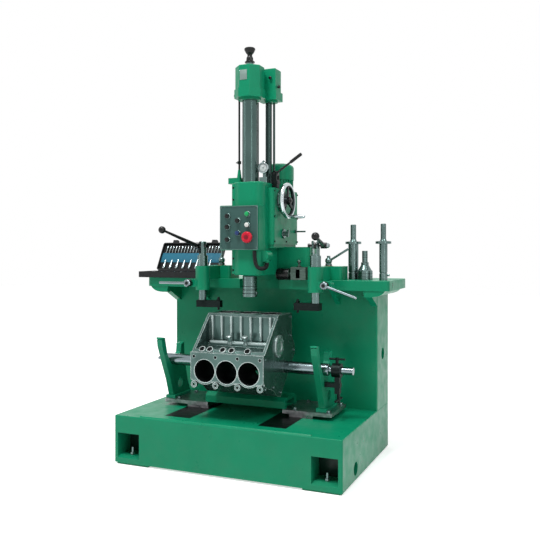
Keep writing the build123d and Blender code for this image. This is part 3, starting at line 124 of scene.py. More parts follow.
class NodeTree:
    """Builds one material's nodes in Object coordinates."""

    def __init__(self, name: str) -> None:
        """Makes an empty material with a Principled shader.

        Args:
            name: the material's name.
        """
        self.material = bpy.data.materials.new(name)
        self.material.use_nodes = True
        self.nodes = self.material.node_tree.nodes
        self.links = self.material.node_tree.links
        self.shader = self.nodes["Principled BSDF"]
        self.coords = self.nodes.new("ShaderNodeTexCoord")

    def mapping(self, scale: Triple, turn: Triple = (0.0, 0.0, 0.0)) -> bpy.types.NodeSocket:
        """Scales and turns the Object coordinates.

        Args:
            scale: stretch along each axis.
            turn: rotation in radians about each axis.

        Returns:
            The mapped vector socket.
        """
        node = self.nodes.new("ShaderNodeMapping")
        node.inputs["Scale"].default_value = scale
        node.inputs["Rotation"].default_value = turn
        self.links.new(self.coords.outputs["Object"], node.inputs["Vector"])
        return node.outputs["Vector"]

    def noise(
        self, scale: float, detail: float = 3.0, stretch: Triple = (1.0, 1.0, 1.0)
    ) -> bpy.types.NodeSocket:
        """Adds a noise of the given scale and returns its factor."""
        node = self.nodes.new("ShaderNodeTexNoise")
        node.inputs["Scale"].default_value = scale
        node.inputs["Detail"].default_value = detail
        self.links.new(self.mapping(stretch), node.inputs["Vector"])
        return node.outputs["Fac"]

    def ramp(
        self, source: bpy.types.NodeSocket, low: float, high: float, dark: float = 0.0, light: float = 1.0
    ) -> bpy.types.NodeSocket:
        """Maps a factor from one range to another, clamped.

        Args:
            source: the incoming factor.
            low: start of the incoming range.
            high: end of the incoming range.
            dark: value at the start.
            light: value at the end.

        Returns:
            The mapped factor.
        """
        node = self.nodes.new("ShaderNodeMapRange")
        for key, value in (("From Min", low), ("From Max", high), ("To Min", dark), ("To Max", light)):
            node.inputs[key].default_value = value
        self.links.new(source, node.inputs["Value"])
        return node.outputs["Result"]

    def blend(
        self, factor: bpy.types.NodeSocket, first: Triple | bpy.types.NodeSocket,
        second: Triple | bpy.types.NodeSocket
    ) -> bpy.types.NodeSocket:
        """Mixes two colours by a factor and returns the mixed colour."""
        node = self.nodes.new("ShaderNodeMix")
        node.data_type = "RGBA"
        self.links.new(factor, node.inputs[0])
        for slot, value in ((6, first), (7, second)):
            if isinstance(value, tuple):
                node.inputs[slot].default_value = (*value, 1.0)
            else:
                self.links.new(value, node.inputs[slot])
        return node.outputs[2]

    def product(self, first: bpy.types.NodeSocket, second: bpy.types.NodeSocket) -> bpy.types.NodeSocket:
        """Multiplies two factors."""
        node = self.nodes.new("ShaderNodeMath")
        node.operation = "MULTIPLY"
        self.links.new(first, node.inputs[0])
        self.links.new(second, node.inputs[1])
        return node.outputs[0]

    def edges(self, radius: float) -> bpy.types.NodeSocket:
        """Returns a factor that rises at the piece's edges.

        Args:
            radius: how far from an edge the factor reaches, in metres.

        Returns:
            A factor, 0 on flats and up to 1 on edges.
        """
        bevel = self.nodes.new("ShaderNodeBevel")
        bevel.samples = 4
        bevel.inputs["Radius"].default_value = radius
        geometry = self.nodes.new("ShaderNodeNewGeometry")
        dot = self.nodes.new("ShaderNodeVectorMath")
        dot.operation = "DOT_PRODUCT"
        self.links.new(bevel.outputs["Normal"], dot.inputs[0])
        self.links.new(geometry.outputs["Normal"], dot.inputs[1])
        return self.ramp(dot.outputs["Value"], 1.0, 0.72)

    def height(self) -> bpy.types.NodeSocket:
        """Returns the height above the floor."""
        node = self.nodes.new("ShaderNodeSeparateXYZ")
        self.links.new(self.coords.outputs["Object"], node.inputs["Vector"])
        return node.outputs["Z"]

    def uneven(self, factor: bpy.types.NodeSocket, low: float, high: float) -> None:
        """Lets the roughness vary with a factor, from low to high."""
        self.feed("Roughness", self.ramp(factor, 0.3, 0.7, low, high))

    def relief(self, factor: bpy.types.NodeSocket, strength: float, distance: float) -> None:
        """Feeds a factor to the shader as bump.

        Args:
            factor: the relief's height factor.
            strength: bump strength.
            distance: bump height in metres.
        """
        node = self.nodes.new("ShaderNodeBump")
        node.inputs["Strength"].default_value = strength
        node.inputs["Distance"].default_value = distance
        self.links.new(factor, node.inputs["Height"])
        self.links.new(node.outputs["Normal"], self.shader.inputs["Normal"])

    def feed(self, key: str, value: bpy.types.NodeSocket | float | Triple) -> None:
        """Sets or links one input of the shader."""
        socket = self.shader.inputs[key]
        if isinstance(value, bpy.types.NodeSocket):
            self.links.new(value, socket)
        else:
            socket.default_value = (*value, 1.0) if isinstance(value, tuple) else value


@dataclass(frozen=True)
class Enamel:
    """Machine enamel: slight orange peel, dust low down, edges lighter by wear and by painted highlight.

    edge_wear is how far the lighter edges, worn paint and painted highlight, reach from an edge, and
    dust_top is the height of the dust, both in metres. dust_share is how strongly the dust shows at the
    floor.
    """

    name: str
    coat: Triple
    rubbed_and_highlight: Triple
    dust: Triple = paint(96, 118, 100)
    roughness: float = 0.34
    edge_wear: float = 0.0035
    dust_top: float = 0.22
    dust_share: float = 0.16

    def build(self) -> bpy.types.Material:
        """Makes the material."""
        tree = NodeTree(self.name)
        deep = tuple(v * 0.90 for v in self.coat)
        body = tree.blend(tree.ramp(tree.noise(5.0, 5.0), 0.35, 0.68), deep, self.coat)
        patch = tree.ramp(tree.noise(34.0, 6.0), 0.66, 0.84, 0.0, 0.16)
        body = tree.blend(patch, body, self.rubbed_and_highlight)
        # Edges turn lighter: partly worn paint, partly painted highlight.
        worn = tree.product(
            tree.edges(self.edge_wear), tree.ramp(tree.noise(60.0, 5.0), 0.38, 0.62, 0.1, 0.5)
        )
        body = tree.blend(worn, body, self.rubbed_and_highlight)
        near_floor = tree.ramp(tree.height(), 0.0, self.dust_top, self.dust_share, 0.0)
        low = tree.product(near_floor, tree.ramp(tree.noise(11.0, 6.0), 0.4, 0.75))
        tree.feed("Base Color", tree.blend(low, body, self.dust))
        tree.uneven(tree.noise(18.0, 5.0), self.roughness - 0.07, self.roughness + 0.12)
        tree.feed("Specular IOR Level", 0.20)
        tree.feed("Coat Weight", 0.03)
        tree.feed("Coat Roughness", 0.22)
        tree.relief(tree.noise(210.0, 3.0), 0.10, 0.0004)
        return tree.material


@dataclass(frozen=True)
class Machined:
    """Bare or blackened metal with turning or grinding marks."""

    name: str
    light: Triple
    dark: Triple
    roughness: float = 0.3
    marks: Triple = (1.0, 1.0, 26.0)
    strength: float = 0.12

    def build(self) -> bpy.types.Material:
        """Makes the material."""
        tree = NodeTree(self.name)
        streaks = tree.noise(38.0, 4.0, self.marks)
        stain = tree.ramp(tree.noise(14.0, 5.0), 0.52, 0.80, 0.0, 0.55)
        body = tree.blend(tree.ramp(streaks, 0.3, 0.7), self.dark, self.light)
        body = tree.blend(stain, body, tuple(v * 0.6 for v in self.dark))
        tree.feed("Base Color", body)
        tree.feed("Metallic", 1.0)
        tree.feed("Roughness", tree.ramp(streaks, 0.25, 0.75, self.roughness - 0.07, self.roughness + 0.12))
        tree.relief(streaks, self.strength, 0.0004)
        return tree.material


@dataclass(frozen=True)
class Polished:
    """Ground and polished steel: smooth and reflective, with a faint haze and an oil film."""

    name: str
    tint: Triple
    haze: Triple
    roughness: float = 0.2
    marks: float = 0.03
    metal: float = 1.0

    def build(self) -> bpy.types.Material:
        """Makes the material."""
        tree = NodeTree(self.name)
        film = tree.ramp(tree.noise(7.0, 4.0), 0.40, 0.78, 0.0, 0.6)
        body = tree.blend(film, self.tint, self.haze)
        spots = tree.ramp(tree.noise(120.0, 3.0), 0.66, 0.80, 0.0, 0.35)
        tree.feed("Base Color", tree.blend(spots, body, tuple(v * 0.55 for v in self.haze)))
        tree.feed("Metallic", self.metal)
        tree.uneven(tree.noise(24.0, 4.0), self.roughness - 0.03, self.roughness + 0.07)
        tree.relief(tree.noise(700.0, 2.0), self.marks, 0.0002)
        return tree.material


@dataclass(frozen=True)
class TwoTone:
    """Plated steel on the rim of a wheel, blackened steel inside it.

    centre is the wheel's centre and reach the radius at which its rim begins, both in metres.
    """

    name: str
    rim: Triple
    inside: Triple
    centre: Triple = (0.0, 0.004, 1.333)
    reach: float = 0.080

    def build(self) -> bpy.types.Material:
        """Makes the material."""
        tree = NodeTree(self.name)
        away = tree.nodes.new("ShaderNodeVectorMath")
        away.operation = "DISTANCE"
        away.inputs[1].default_value = self.centre
        tree.links.new(tree.mapping((0.0, 1.0, 1.0)), away.inputs[0])
        mask = tree.ramp(away.outputs["Value"], self.reach - 0.003, self.reach)
        grime = tree.ramp(tree.noise(30.0, 4.0), 0.5, 0.8, 0.0, 0.5)
        inner = tree.blend(grime, self.inside, tuple(v * 0.5 for v in self.inside))
        tree.feed("Base Color", tree.blend(mask, inner, self.rim))
        tree.feed("Metallic", 1.0)
        tree.feed("Roughness", tree.ramp(mask, 0.0, 1.0, 0.4, 0.12))
        tree.relief(tree.noise(300.0, 2.0), 0.04, 0.0003)
        return tree.material


@dataclass(frozen=True)
class Casting:
    """Cast aluminium: a grainy skin, darker in random patches, near-white edges from wear and painted
    highlight.
    """

    name: str
    skin: Triple
    bright: Triple
    grime: Triple
    metal: float = 0.68
    roughness: float = 0.235
    edge_wear: float = 0.006

    def build(self) -> bpy.types.Material:
        """Makes the material."""
        tree = NodeTree(self.name)
        dull = tuple(v * 0.72 for v in self.skin)
        body = tree.blend(tree.ramp(tree.noise(6.0, 2.0), 0.35, 0.7), dull, self.skin)
        # Near-white edges: partly worn metal, partly painted highlight.
        worn = tree.product(
            tree.edges(self.edge_wear), tree.ramp(tree.noise(40.0, 3.0), 0.3, 0.6, 0.5, 1.0)
        )
        body = tree.blend(worn, body, self.bright)
        body = tree.blend(tree.ramp(tree.noise(9.0, 2.0), 0.54, 0.76, 0.0, 0.5), body, self.grime)
        tree.feed("Base Color", body)
        tree.feed("Metallic", self.metal)
        tree.uneven(tree.noise(16.0, 2.0), self.roughness - 0.065, self.roughness + 0.065)
        tree.relief(tree.noise(42.0, 1.0), 0.16, 0.0010)
        return tree.material


@dataclass(frozen=True)
class Moulded:
    """Plastic, lacquer or rubber with a fine grain and light scuffs."""

    name: str
    colour: Triple
    scuff: Triple
    roughness: float = 0.35
    grain: float = 600.0
    strength: float = 0.08
    metal: float = 0.0
    gloss: float = 0.28
    edge_wear: float = 0.0015

    def build(self) -> bpy.types.Material:
        """Makes the material."""
        tree = NodeTree(self.name)
        mask = tree.ramp(tree.noise(70.0, 6.0), 0.56, 0.80, 0.0, 0.5)
        body = tree.blend(mask, self.colour, self.scuff)
        worn = tree.product(tree.edges(self.edge_wear), tree.noise(90.0, 3.0))
        tree.feed("Base Color", tree.blend(worn, body, self.scuff))
        tree.feed("Metallic", self.metal)
        tree.feed("Specular IOR Level", self.gloss)
        tree.uneven(tree.noise(45.0, 4.0), self.roughness - 0.06, self.roughness + 0.12)
        tree.relief(tree.noise(self.grain, 2.0), self.strength, 0.0004)
        return tree.material


class Palette:
    """All finishes of the machine, built once each."""

    FINISHES = (
        Enamel("machine_green", paint(8, 142, 102), paint(48, 172, 134)),
        Enamel("fitting_green", paint(22, 148, 110), paint(74, 184, 148)),
        # pocket_dark is painted shade, for the plates in the bolt pockets.
        Enamel("pocket_dark", paint(12, 46, 36), paint(26, 70, 56)),
        Enamel("panel_teal", paint(62, 96, 91), paint(88, 124, 118), roughness=0.42),
        Enamel("panel_edge", paint(92, 128, 120), paint(124, 158, 150), roughness=0.4),
        Polished("ground_steel", paint(104, 126, 123), paint(70, 90, 88), 0.22, 0.03, 0.92),
        Polished("bar_steel", paint(82, 104, 100), paint(62, 82, 79), 0.2, 0.03, 0.95),
        Polished("rod_steel", paint(58, 76, 73), paint(40, 54, 52), 0.2, 0.03, 0.95),
        Polished("bright_chrome", paint(172, 184, 186), paint(124, 140, 142), 0.12, 0.015),
        TwoTone("wheel_steel", paint(196, 206, 208), paint(46, 52, 54)),
        Polished("shaft_steel", paint(132, 146, 150), paint(94, 108, 112), 0.16),
        Machined("plate_steel", paint(176, 174, 178), paint(124, 128, 130), 0.3, (1.0, 5.0, 1.0), 0.06),
        Machined("gauge_steel", paint(94, 112, 104), paint(62, 78, 72), 0.34, (1.0, 1.0, 9.0), 0.08),
        Machined("blackened_steel", paint(40, 48, 47), paint(18, 24, 23), 0.42),
        Machined("bronze_washer", paint(176, 110, 60), paint(128, 74, 38), 0.4),
        Casting("cast_aluminium", paint(88, 116, 111), paint(232, 242, 240), paint(34, 54, 50)),
        Casting("machined_face", paint(176, 194, 192), paint(236, 244, 242), paint(92, 112, 108)),
        Moulded("black_gloss", paint(12, 15, 15), paint(38, 42, 42), 0.24),
        Moulded("case_black", paint(15, 18, 19), paint(34, 38, 38), 0.55, 900.0, 0.3),
        Moulded("case_teal", paint(42, 112, 136), paint(78, 146, 164), 0.6, 700.0, 0.25),
        Moulded("hose_black", paint(14, 18, 18), paint(38, 44, 42), 0.5, 300.0, 0.3),
        Moulded("gauge_face", paint(214, 220, 220), paint(180, 188, 190), 0.35),
        Moulded("gauge_plate", paint(128, 148, 142), paint(150, 166, 160), 0.45, 300.0, 0.05, 0.3),
        Moulded("ink_black", paint(30, 32, 32), paint(52, 54, 54), 0.5),
        Moulded("lens_red", paint(206, 26, 52), paint(232, 84, 92), 0.28),
        Moulded("lens_dark_red", paint(132, 18, 36), paint(170, 50, 62), 0.3),
        Moulded("lens_green", paint(30, 168, 96), paint(96, 206, 150), 0.22),
        Moulded("lens_white", paint(226, 230, 226), paint(198, 204, 200), 0.24),
        Moulded("lens_blue", paint(34, 58, 108), paint(70, 96, 146), 0.26),
        Moulded("bore_shadow", paint(8, 11, 11), paint(16, 20, 20), 0.7, gloss=0.1),
        # The near-black finish of the cylinder walls is painted shade.
        Moulded("bore_painted_shade", paint(22, 26, 26), paint(44, 50, 50), 0.42, 200.0, 0.05, 0.7),
    )

    def __init__(self) -> None:
        """Builds the materials."""
        self.made = {finish.name: finish.build() for finish in self.FINISHES}

    def dress(self, piece: bpy.types.Object, finish: str) -> None:
        """Gives a piece one finish all over.

        Args:
            piece: the object to dress.
            finish: the finish's name.
        """
        piece.data.materials.clear()
        piece.data.materials.append(self.made[finish])


class Bench:
    """Shapes primitives with the modelling operators, as at a workbench."""

    WASHER = 1.6

    @staticmethod
    def clear() -> None:
        """Leaves edit mode and selects nothing."""
        if bpy.context.mode != "OBJECT":
            bpy.ops.object.mode_set(mode="OBJECT")
        bpy.ops.object.select_all(action="DESELECT")

    @staticmethod
    def settle(piece: bpy.types.Object, angle: float = 35.0) -> bpy.types.Object:
        """Puts a piece's place into its mesh and smooths its round sides.

        Args:
            piece: the shaped object.
            angle: edges sharper than this stay crisp, in degrees.

        Returns:
            The same object, at the origin.
        """
        Bench.clear()
        bpy.context.view_layer.objects.active = piece
        piece.select_set(True)
        bpy.ops.object.transform_apply(location=True, rotation=True, scale=True)
        bpy.ops.object.shade_smooth_by_angle(angle=radians(angle))
        Bench.clear()
        return piece

    @staticmethod
    def edge_break(piece: bpy.types.Object, width: float, segments: int = 2) -> None:
        """Rounds a piece's sharp edges with an applied bevel.

        Args:
            piece: the object.
            width: bevel width in metres.
            segments: steps of the rounding.
        """
        Bench.clear()
        bpy.context.view_layer.objects.active = piece
        piece.select_set(True)
        bevel = piece.modifiers.new("edge_break", "BEVEL")
        bevel.width = width
        bevel.segments = segments
        bevel.limit_method = "ANGLE"
        bevel.angle_limit = radians(40)
        bpy.ops.object.modifier_apply(modifier=bevel.name)
        Bench.clear()

    @staticmethod
    def drawn(name: str, profile: Profile, sides: int, hollow: bool) -> bpy.types.Object:
        """Draws a disc, or an open ring, up through the steps of a profile.

        Args:
            name: the piece's name.
            profile: (radius, height) steps in mm, from the foot up.
            sides: corners round the piece.
            hollow: whether to draw an open ring that shows its inside.

        Returns:
            The piece, upright at the origin.
        """
        Bench.clear()
        radius, height = profile[0]
        bpy.ops.mesh.primitive_circle_add(
            vertices=sides, radius=radius * MM, fill_type="NOTHING" if hollow else "NGON",
            location=(0, 0, height * MM)
        )
        piece = bpy.context.object
        bpy.ops.object.mode_set(mode="EDIT")
        bpy.context.tool_settings.mesh_select_mode = (False, hollow, not hollow)
        bpy.ops.mesh.select_all(action="SELECT")
        for next_radius, next_height in profile[1:]:
            rise = (next_height - height) * MM
            bpy.ops.mesh.extrude_region_move(TRANSFORM_OT_translate={"value": (0, 0, rise)})
            if next_radius != radius:
                ratio = next_radius / radius
                bpy.ops.transform.resize(value=(ratio, ratio, 1), center_override=(0, 0, next_height * MM))
            radius, height = next_radius, next_height
        bpy.ops.mesh.select_all(action="SELECT")
        bpy.ops.mesh.normals_make_consistent(inside=hollow)
        bpy.ops.object.mode_set(mode="OBJECT")
        piece.name = piece.data.name = name
        return piece

    @staticmethod
    def turned(
        name: str, profile: Profile, at: Vector, along: Vector, sides: int = 32, chamfer: float = 0.0
    ) -> bpy.types.Object:
        """Turns a round piece with closed ends.

        Args:
            name: the piece's name.
            profile: (radius, height) steps in mm, from the foot up.
            at: where the foot's centre goes, in metres.
            along: direction of the axis.
            sides: corners round the piece.
            chamfer: edge break in mm.

        Returns:
            The finished object.
        """
        piece = Bench.drawn(name, profile, sides, hollow=False)
        if chamfer:
            Bench.edge_break(piece, chamfer * MM)
        piece.matrix_world = Matrix.Translation(at) @ facing(along) @ piece.matrix_world
        return Bench.settle(piece)

    @staticmethod
    def sleeve(name: str, profile: Profile, at: Vector, along: Vector, sides: int = 48) -> bpy.types.Object:
        """Turns a thin open sleeve that shows its inside.

        Args:
            name: the piece's name.
            profile: (radius, height) steps in mm, from the foot up.
            at: where the foot's centre goes, in metres.
            along: direction of the axis.
            sides: corners round the piece.

        Returns:
            The finished object.
        """
        piece = Bench.drawn(name, profile, sides, hollow=True)
        piece.matrix_world = Matrix.Translation(at) @ facing(along) @ piece.matrix_world
        return Bench.settle(piece)

    @staticmethod
    def block(
        name: str, size: Triple, at: Vector, chamfer: float = 0.6, turn: Matrix | None = None,
        taper: float = 1.0
    ) -> bpy.types.Object:
        """Cuts a block from a cube, tapers its top and breaks its edges.

        Args:
            name: the piece's name.
            size: width, depth and height in mm.
            at: centre in metres.
            chamfer: edge break in mm.
            turn: optional rotation about the centre.
            taper: scale of the top face.

        Returns:
            The finished object.
        """
        Bench.clear()
        bpy.ops.mesh.primitive_cube_add(size=1.0, scale=tuple(v * MM for v in size))
        piece = bpy.context.object
        bpy.ops.object.transform_apply(location=True, rotation=True, scale=True)
        if taper != 1.0:
            Bench.pick_faces(piece, lambda face: face.normal.z > SQUARE)
            bpy.ops.transform.resize(value=(taper, taper, 1), center_override=(0, 0, size[2] * MM / 2))
            bpy.ops.object.mode_set(mode="OBJECT")
        piece.name = piece.data.name = name
        Bench.edge_break(piece, chamfer * MM)
        piece.matrix_world = Matrix.Translation(at) @ (turn.to_4x4() if turn else Matrix.Identity(4))
        return Bench.settle(piece)

    @staticmethod
    def pick_faces(piece: bpy.types.Object, wanted: FaceTest) -> None:
        """Enters edit mode with only the wanted faces selected.

        Args:
            piece: the object.
            wanted: a test that a face passes to be selected.
        """
        Bench.clear()
        bpy.context.view_layer.objects.active = piece
        piece.select_set(True)
        bpy.ops.object.mode_set(mode="EDIT")
        bpy.context.tool_settings.mesh_select_mode = (False, False, True)
        bpy.ops.mesh.select_all(action="DESELECT")
        bpy.ops.object.mode_set(mode="OBJECT")
        for face in piece.data.polygons:
            face.select = bool(wanted(face))
        bpy.ops.object.mode_set(mode="EDIT")

    @staticmethod
    def sink(piece: bpy.types.Object, wanted: FaceTest, rim: float, depth: float) -> None:
        """Insets the wanted faces and pushes them in.

        Args:
            piece: the object.
            wanted: a test that a face passes to be sunk.
            rim: width left round the recess, in mm.
            depth: depth of the recess, in mm.
        """
        Bench.pick_faces(piece, wanted)
        bpy.ops.mesh.inset(thickness=rim * MM, depth=0)
        bpy.ops.mesh.inset(thickness=0.05 * MM, depth=-depth * MM)
        bpy.ops.object.mode_set(mode="OBJECT")

    @staticmethod
    def spread(piece: bpy.types.Object, moves: list[Matrix], name: str) -> bpy.types.Object:
        """Copies a piece to several places and joins the copies, each with its own mesh.

        Args:
            piece: the piece modelled once; it is used up.
            moves: one placement per copy.
            name: name of the joined piece.

        Returns:
            The joined object.
        """
        Bench.clear()
        copies = []
        for move in moves:
            twin = piece.copy()
            twin.data = piece.data.copy()
            twin.data.transform(move)
            bpy.context.scene.collection.objects.link(twin)
            copies.append(twin)
        bpy.data.objects.remove(piece)
        return Bench.join(copies, name)

    @staticmethod
    def join(pieces: list[bpy.types.Object], name: str) -> bpy.types.Object:
        """Joins several pieces into one object."""
        Bench.clear()
        for piece in pieces:
            piece.select_set(True)
        bpy.context.view_layer.objects.active = pieces[0]
        if len(pieces) > 1:
            bpy.ops.object.join()
        joined = bpy.context.view_layer.objects.active
        joined.name = joined.data.name = name
        Bench.clear()
        return joined

    @staticmethod
    def socket_screw(
        name: str, radius: float, height: float, at: Vector, along: Vector
    ) -> bpy.types.Object:
        """Models a cap screw with a six-sided socket in its head.

        Args:
            name: the piece's name.
            radius: radius of the head in mm.
            height: height of the head in mm.
            at: foot of the head, in metres.
            along: direction the head points.

        Returns:
            The screw.
        """
        profile = [(radius, 0), (radius, height * 0.86), (radius * 0.9, height)]
        head = Bench.turned(name, profile, HOME, UP, 24)
        near_top = height * 0.9 * MM
        Bench.sink(
            head, lambda face: face.normal.z > SQUARE and face.center.z > near_top, radius * 0.34,
            height * 0.5
        )
        head.matrix_world = Matrix.Translation(at) @ facing(along)
        return Bench.settle(head)

    @staticmethod
    def hex_bolt(name: str, radius: float, height: float, at: Vector, along: Vector) -> bpy.types.Object:
        """Models a hexagon head with a washer under it."""
        profile = [(radius * 0.98, 0), (radius * 0.98, height * 0.8), (radius * 0.86, height)]
        head = Bench.turned(name, profile, at, along, 6)
        profile = [(radius * 1.35, -Bench.WASHER), (radius * 1.35, 0)]
        washer = Bench.turned(name + "_washer", profile, at, along, 28, 0.3)
        return Bench.join([head, washer], name)


@dataclass
class Assembly:
    """A group of fittings that are placed and dressed together."""

    palette: Palette

    def place(self, piece: bpy.types.Object, body: Body, slot: str, finish: str) -> bpy.types.Object:
        """Dresses a piece, lets it ride on its body and reports it.

        Args:
            piece: the finished piece.
            body: the body it moves with.
            slot: the record's material slot; not used.
            finish: the finish's name.

        Returns:
            The same piece.
        """
        self.palette.dress(piece, finish)
        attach(piece, body.value)
        LOG.info("placed %s on %s in %s", piece.name, body.value, finish)
        return piece


@dataclass
class Castings(Assembly):
    """Finishes of the solid pieces, each with its nodes, and screws and plates of the castings."""

    finishes: dict[str, tuple[str, ...]] = field(
        default_factory=lambda: {
            "machine_green": (
                "base", "upright", "table", "head_casting", "top_housing", "arms", "control_box",
                "fixture_beam", "motor"
            ),
            "fitting_green": ("cradles",),
            "panel_teal": ("control_panel",),
            "ground_steel": (
                "levelling_bolts", "gearbox_dials", "push_buttons", "dial_gauge", "arm_clamps",
                "spare_bars", "cutter_head", "spindle", "post_left", "post_right"
            ),
            "blackened_steel": (
                "base_ways", "clutch_bracket", "depth_stop_rod", "hold_down", "clamp_bar_left",
                "clamp_bar_right"
            ),
            "lens_red": ("stop_button",),
            "hose_black": ("conduit",),
            "gauge_steel": ("setting_gauge",),
            "plate_steel": ("fixture_plates",),
            "shaft_steel": ("mandrel", "clamp_handle_left", "clamp_handle_right"),
            "cast_aluminium": ("engine_block",),
            "case_black": ("case_tray", "case_lid"),
            "black_gloss": ("clutch_lever", "top_knob", "cam_lever_left", "cam_lever_right"),
            "wheel_steel": ("handwheel",),
            "bright_chrome": ("crank_grip",),
            "bar_steel": ("boring_bar",),
            "rod_steel": ("drive_rods",),
        }
    )
    screw_heights: tuple[float, ...] = (976.0, 1035.0, 1333.0, 1393.0)
    plate_centre: tuple[float, float] = (-4.0, 1966.0)
    rivet_reach: tuple[float, float] = (17.0, 22.0)
    arm_nuts: tuple[tuple[float, float], ...] = ((-262.0, 105.0), (360.0, 110.0))
    cover_screws: tuple[tuple[float, float], ...] = (
        (-84, 1122), (-84, 1250), (-84, 1380), (236, 1122), (236, 1250), (236, 1380), (76, 1122),
        (112, 1380),
    )

    def build(self, nodes: dict[str, bpy.types.Object]) -> None:
        """Dresses the solids and adds the small fittings.

        Args:
            nodes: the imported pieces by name.
        """
        for finish, names in self.finishes.items():
            for name in names:
                self.palette.dress(nodes[name], finish)
        self.flange_screws()
        self.plates()
        self.gearbox_screws()
        self.housing_knobs()
        self.arm_washers()

    def flange_screws(self) -> None:
        """Sets four cap screws on the flange strip of the column."""
        screws = [
            Bench.socket_screw("flange_screw", 5.4, 5.5, point(-55, -165.2, z), FRONT)
            for z in self.screw_heights
        ]
        self.place(Bench.join(screws, "flange_screws"), Body.MACHINE, "steel", "blackened_steel")

    def plates(self) -> None:
        """Adds the bare plate on the top housing, held by four rivets."""
        x, z = self.plate_centre
        plate = Bench.block("housing_plate", (40, 2, 50), point(x, -159.9, z), 0.5)
        self.place(plate, Body.BAR, "gauge", "gauge_plate")
        rivet = Bench.turned("rivet", [(1.8, 0), (1.6, 0.7), (0.8, 1.1)], HOME, FRONT, 12)
        reach, rise = self.rivet_reach
        corners = [(side * reach, end * rise) for side in (-1, 1) for end in (-1, 1)]
        spots = [Matrix.Translation(point(x + over, -160.8, z + up)) for over, up in corners]
        self.place(Bench.spread(rivet, spots, "plate_rivets"), Body.BAR, "gauge", "bright_chrome")

    def gearbox_screws(self) -> None:
        """Adds screws round the gearbox's side cover."""
        screws = [
            Bench.socket_screw("cover_screw", 4.6, 3.6, point(136, y, z), RIGHT)
            for y, z in self.cover_screws
        ]
        self.place(Bench.join(screws, "gearbox_cover_screws"), Body.MACHINE, "steel", "blackened_steel")

    def housing_knobs(self) -> None:
        """Adds the small black knobs on the housing's left side and on its drive block."""
        shape = [(4, 0), (4, 4), (8, 5), (8.6, 9), (8, 13), (5, 15)]
        places = (
            (Vector((-74, AXIS_Y, 1878)), LEFT),
            (Vector((92, -30, 1968)), FRONT),
            (Vector((118, -2, 1926)), RIGHT),
        )
        knobs = [Bench.turned("knob", shape, at * MM, along, 24) for at, along in places]
        self.place(Bench.join(knobs, "housing_knobs"), Body.BAR, "black", "black_gloss")

    def arm_washers(self) -> None:
        """Adds the bronze washers under the arm nuts."""
        washers = [
            Bench.turned("arm_washer", [(24, 0), (24, 2.4)], point(x, y, 994), UP, 36, 0.5)
            for x, y in self.arm_nuts
        ]
        self.place(Bench.join(washers, "arm_washers"), Body.MACHINE, "steel", "bronze_washer")


class Cap(Enum):
    """Colours of the push-button caps."""

    BLACK = "black_gloss"
    BLUE = "lens_blue"
    GREEN = "lens_green"
    WHITE = "lens_white"


@dataclass
class ControlPanel(Assembly):
    """Caps, screws and frame of the control panel."""

    front: float = -210.0
    left: float = -110.0
    right: float = 99.0
    low: float = 1079.0
    high: float = 1299.0
    stop: tuple[float, float] = (48.0, 1141.0)
    cap_profile: tuple[tuple[float, float], ...] = (
        (11.6, 0), (11.6, 2.4), (10.4, 4.6), (7.2, 6.0), (2.5, 6.6)
    )
    strip: float = 4.0
    inset: float = 8.0
    caps: tuple[tuple[float, float, Cap], ...] = (
        (-66, 1248, Cap.BLACK), (-66, 1193, Cap.BLACK), (-66, 1130, Cap.BLACK), (-9, 1224, Cap.BLACK),
        (-9, 1162, Cap.BLUE), (44, 1257, Cap.GREEN), (44, 1203, Cap.WHITE),
    )

    def build(self) -> None:
        """Adds the panel's fittings."""
        for number, (x, z, cap) in enumerate(self.caps):
            spot = point(x, self.front - 13, z)
            button = Bench.turned(f"button_cap_{number + 1}", list(self.cap_profile), spot, FRONT)
            self.place(button, Body.MACHINE, "buttons", cap.value)
        x, z = self.stop
        shape = [(20, 0), (20, 0.8), (12, 0.3)]
        knob = Bench.turned("stop_button_dish", shape, point(x, self.front - 29, z), FRONT, 40)
        self.place(knob, Body.MACHINE, "red", "lens_red")
        shape = [(12, 0), (12, 0.6), (10, 1.0)]
        middle = Bench.turned("stop_button_middle", shape, point(x, self.front - 29.3, z), FRONT, 36)
        self.place(middle, Body.MACHINE, "red", "lens_dark_red")
        screw = Bench.socket_screw("panel_screw", 3.4, 2.4, HOME, FRONT)
        spots = [
            Matrix.Translation(point(x, self.front, z))
            for x in (self.left + self.inset, self.right - self.inset)
            for z in (self.low + self.inset, self.high - self.inset)
        ]
        self.place(Bench.spread(screw, spots, "panel_screws"), Body.MACHINE, "steel", "ground_steel")
        self.frame()

    def frame(self) -> None:
        """Lays the thin raised frame round the panel from four strips."""
        width, height = self.right - self.left, self.high - self.low
        x, z = (self.left + self.right) / 2, (self.low + self.high) / 2
        y, half = self.front - 0.9, self.strip / 2
        flat, upright = (width, 3, self.strip), (self.strip, 3, height - 7)
        strips = [
            Bench.block("frame_low", flat, point(x, y, self.low + half)),
            Bench.block("frame_high", flat, point(x, y, self.high - half)),
            Bench.block("frame_left", upright, point(self.left + half, y, z)),
            Bench.block("frame_right", upright, point(self.right - half, y, z)),
        ]
        self.place(Bench.join(strips, "panel_frame"), Body.MACHINE, "panel", "panel_edge")


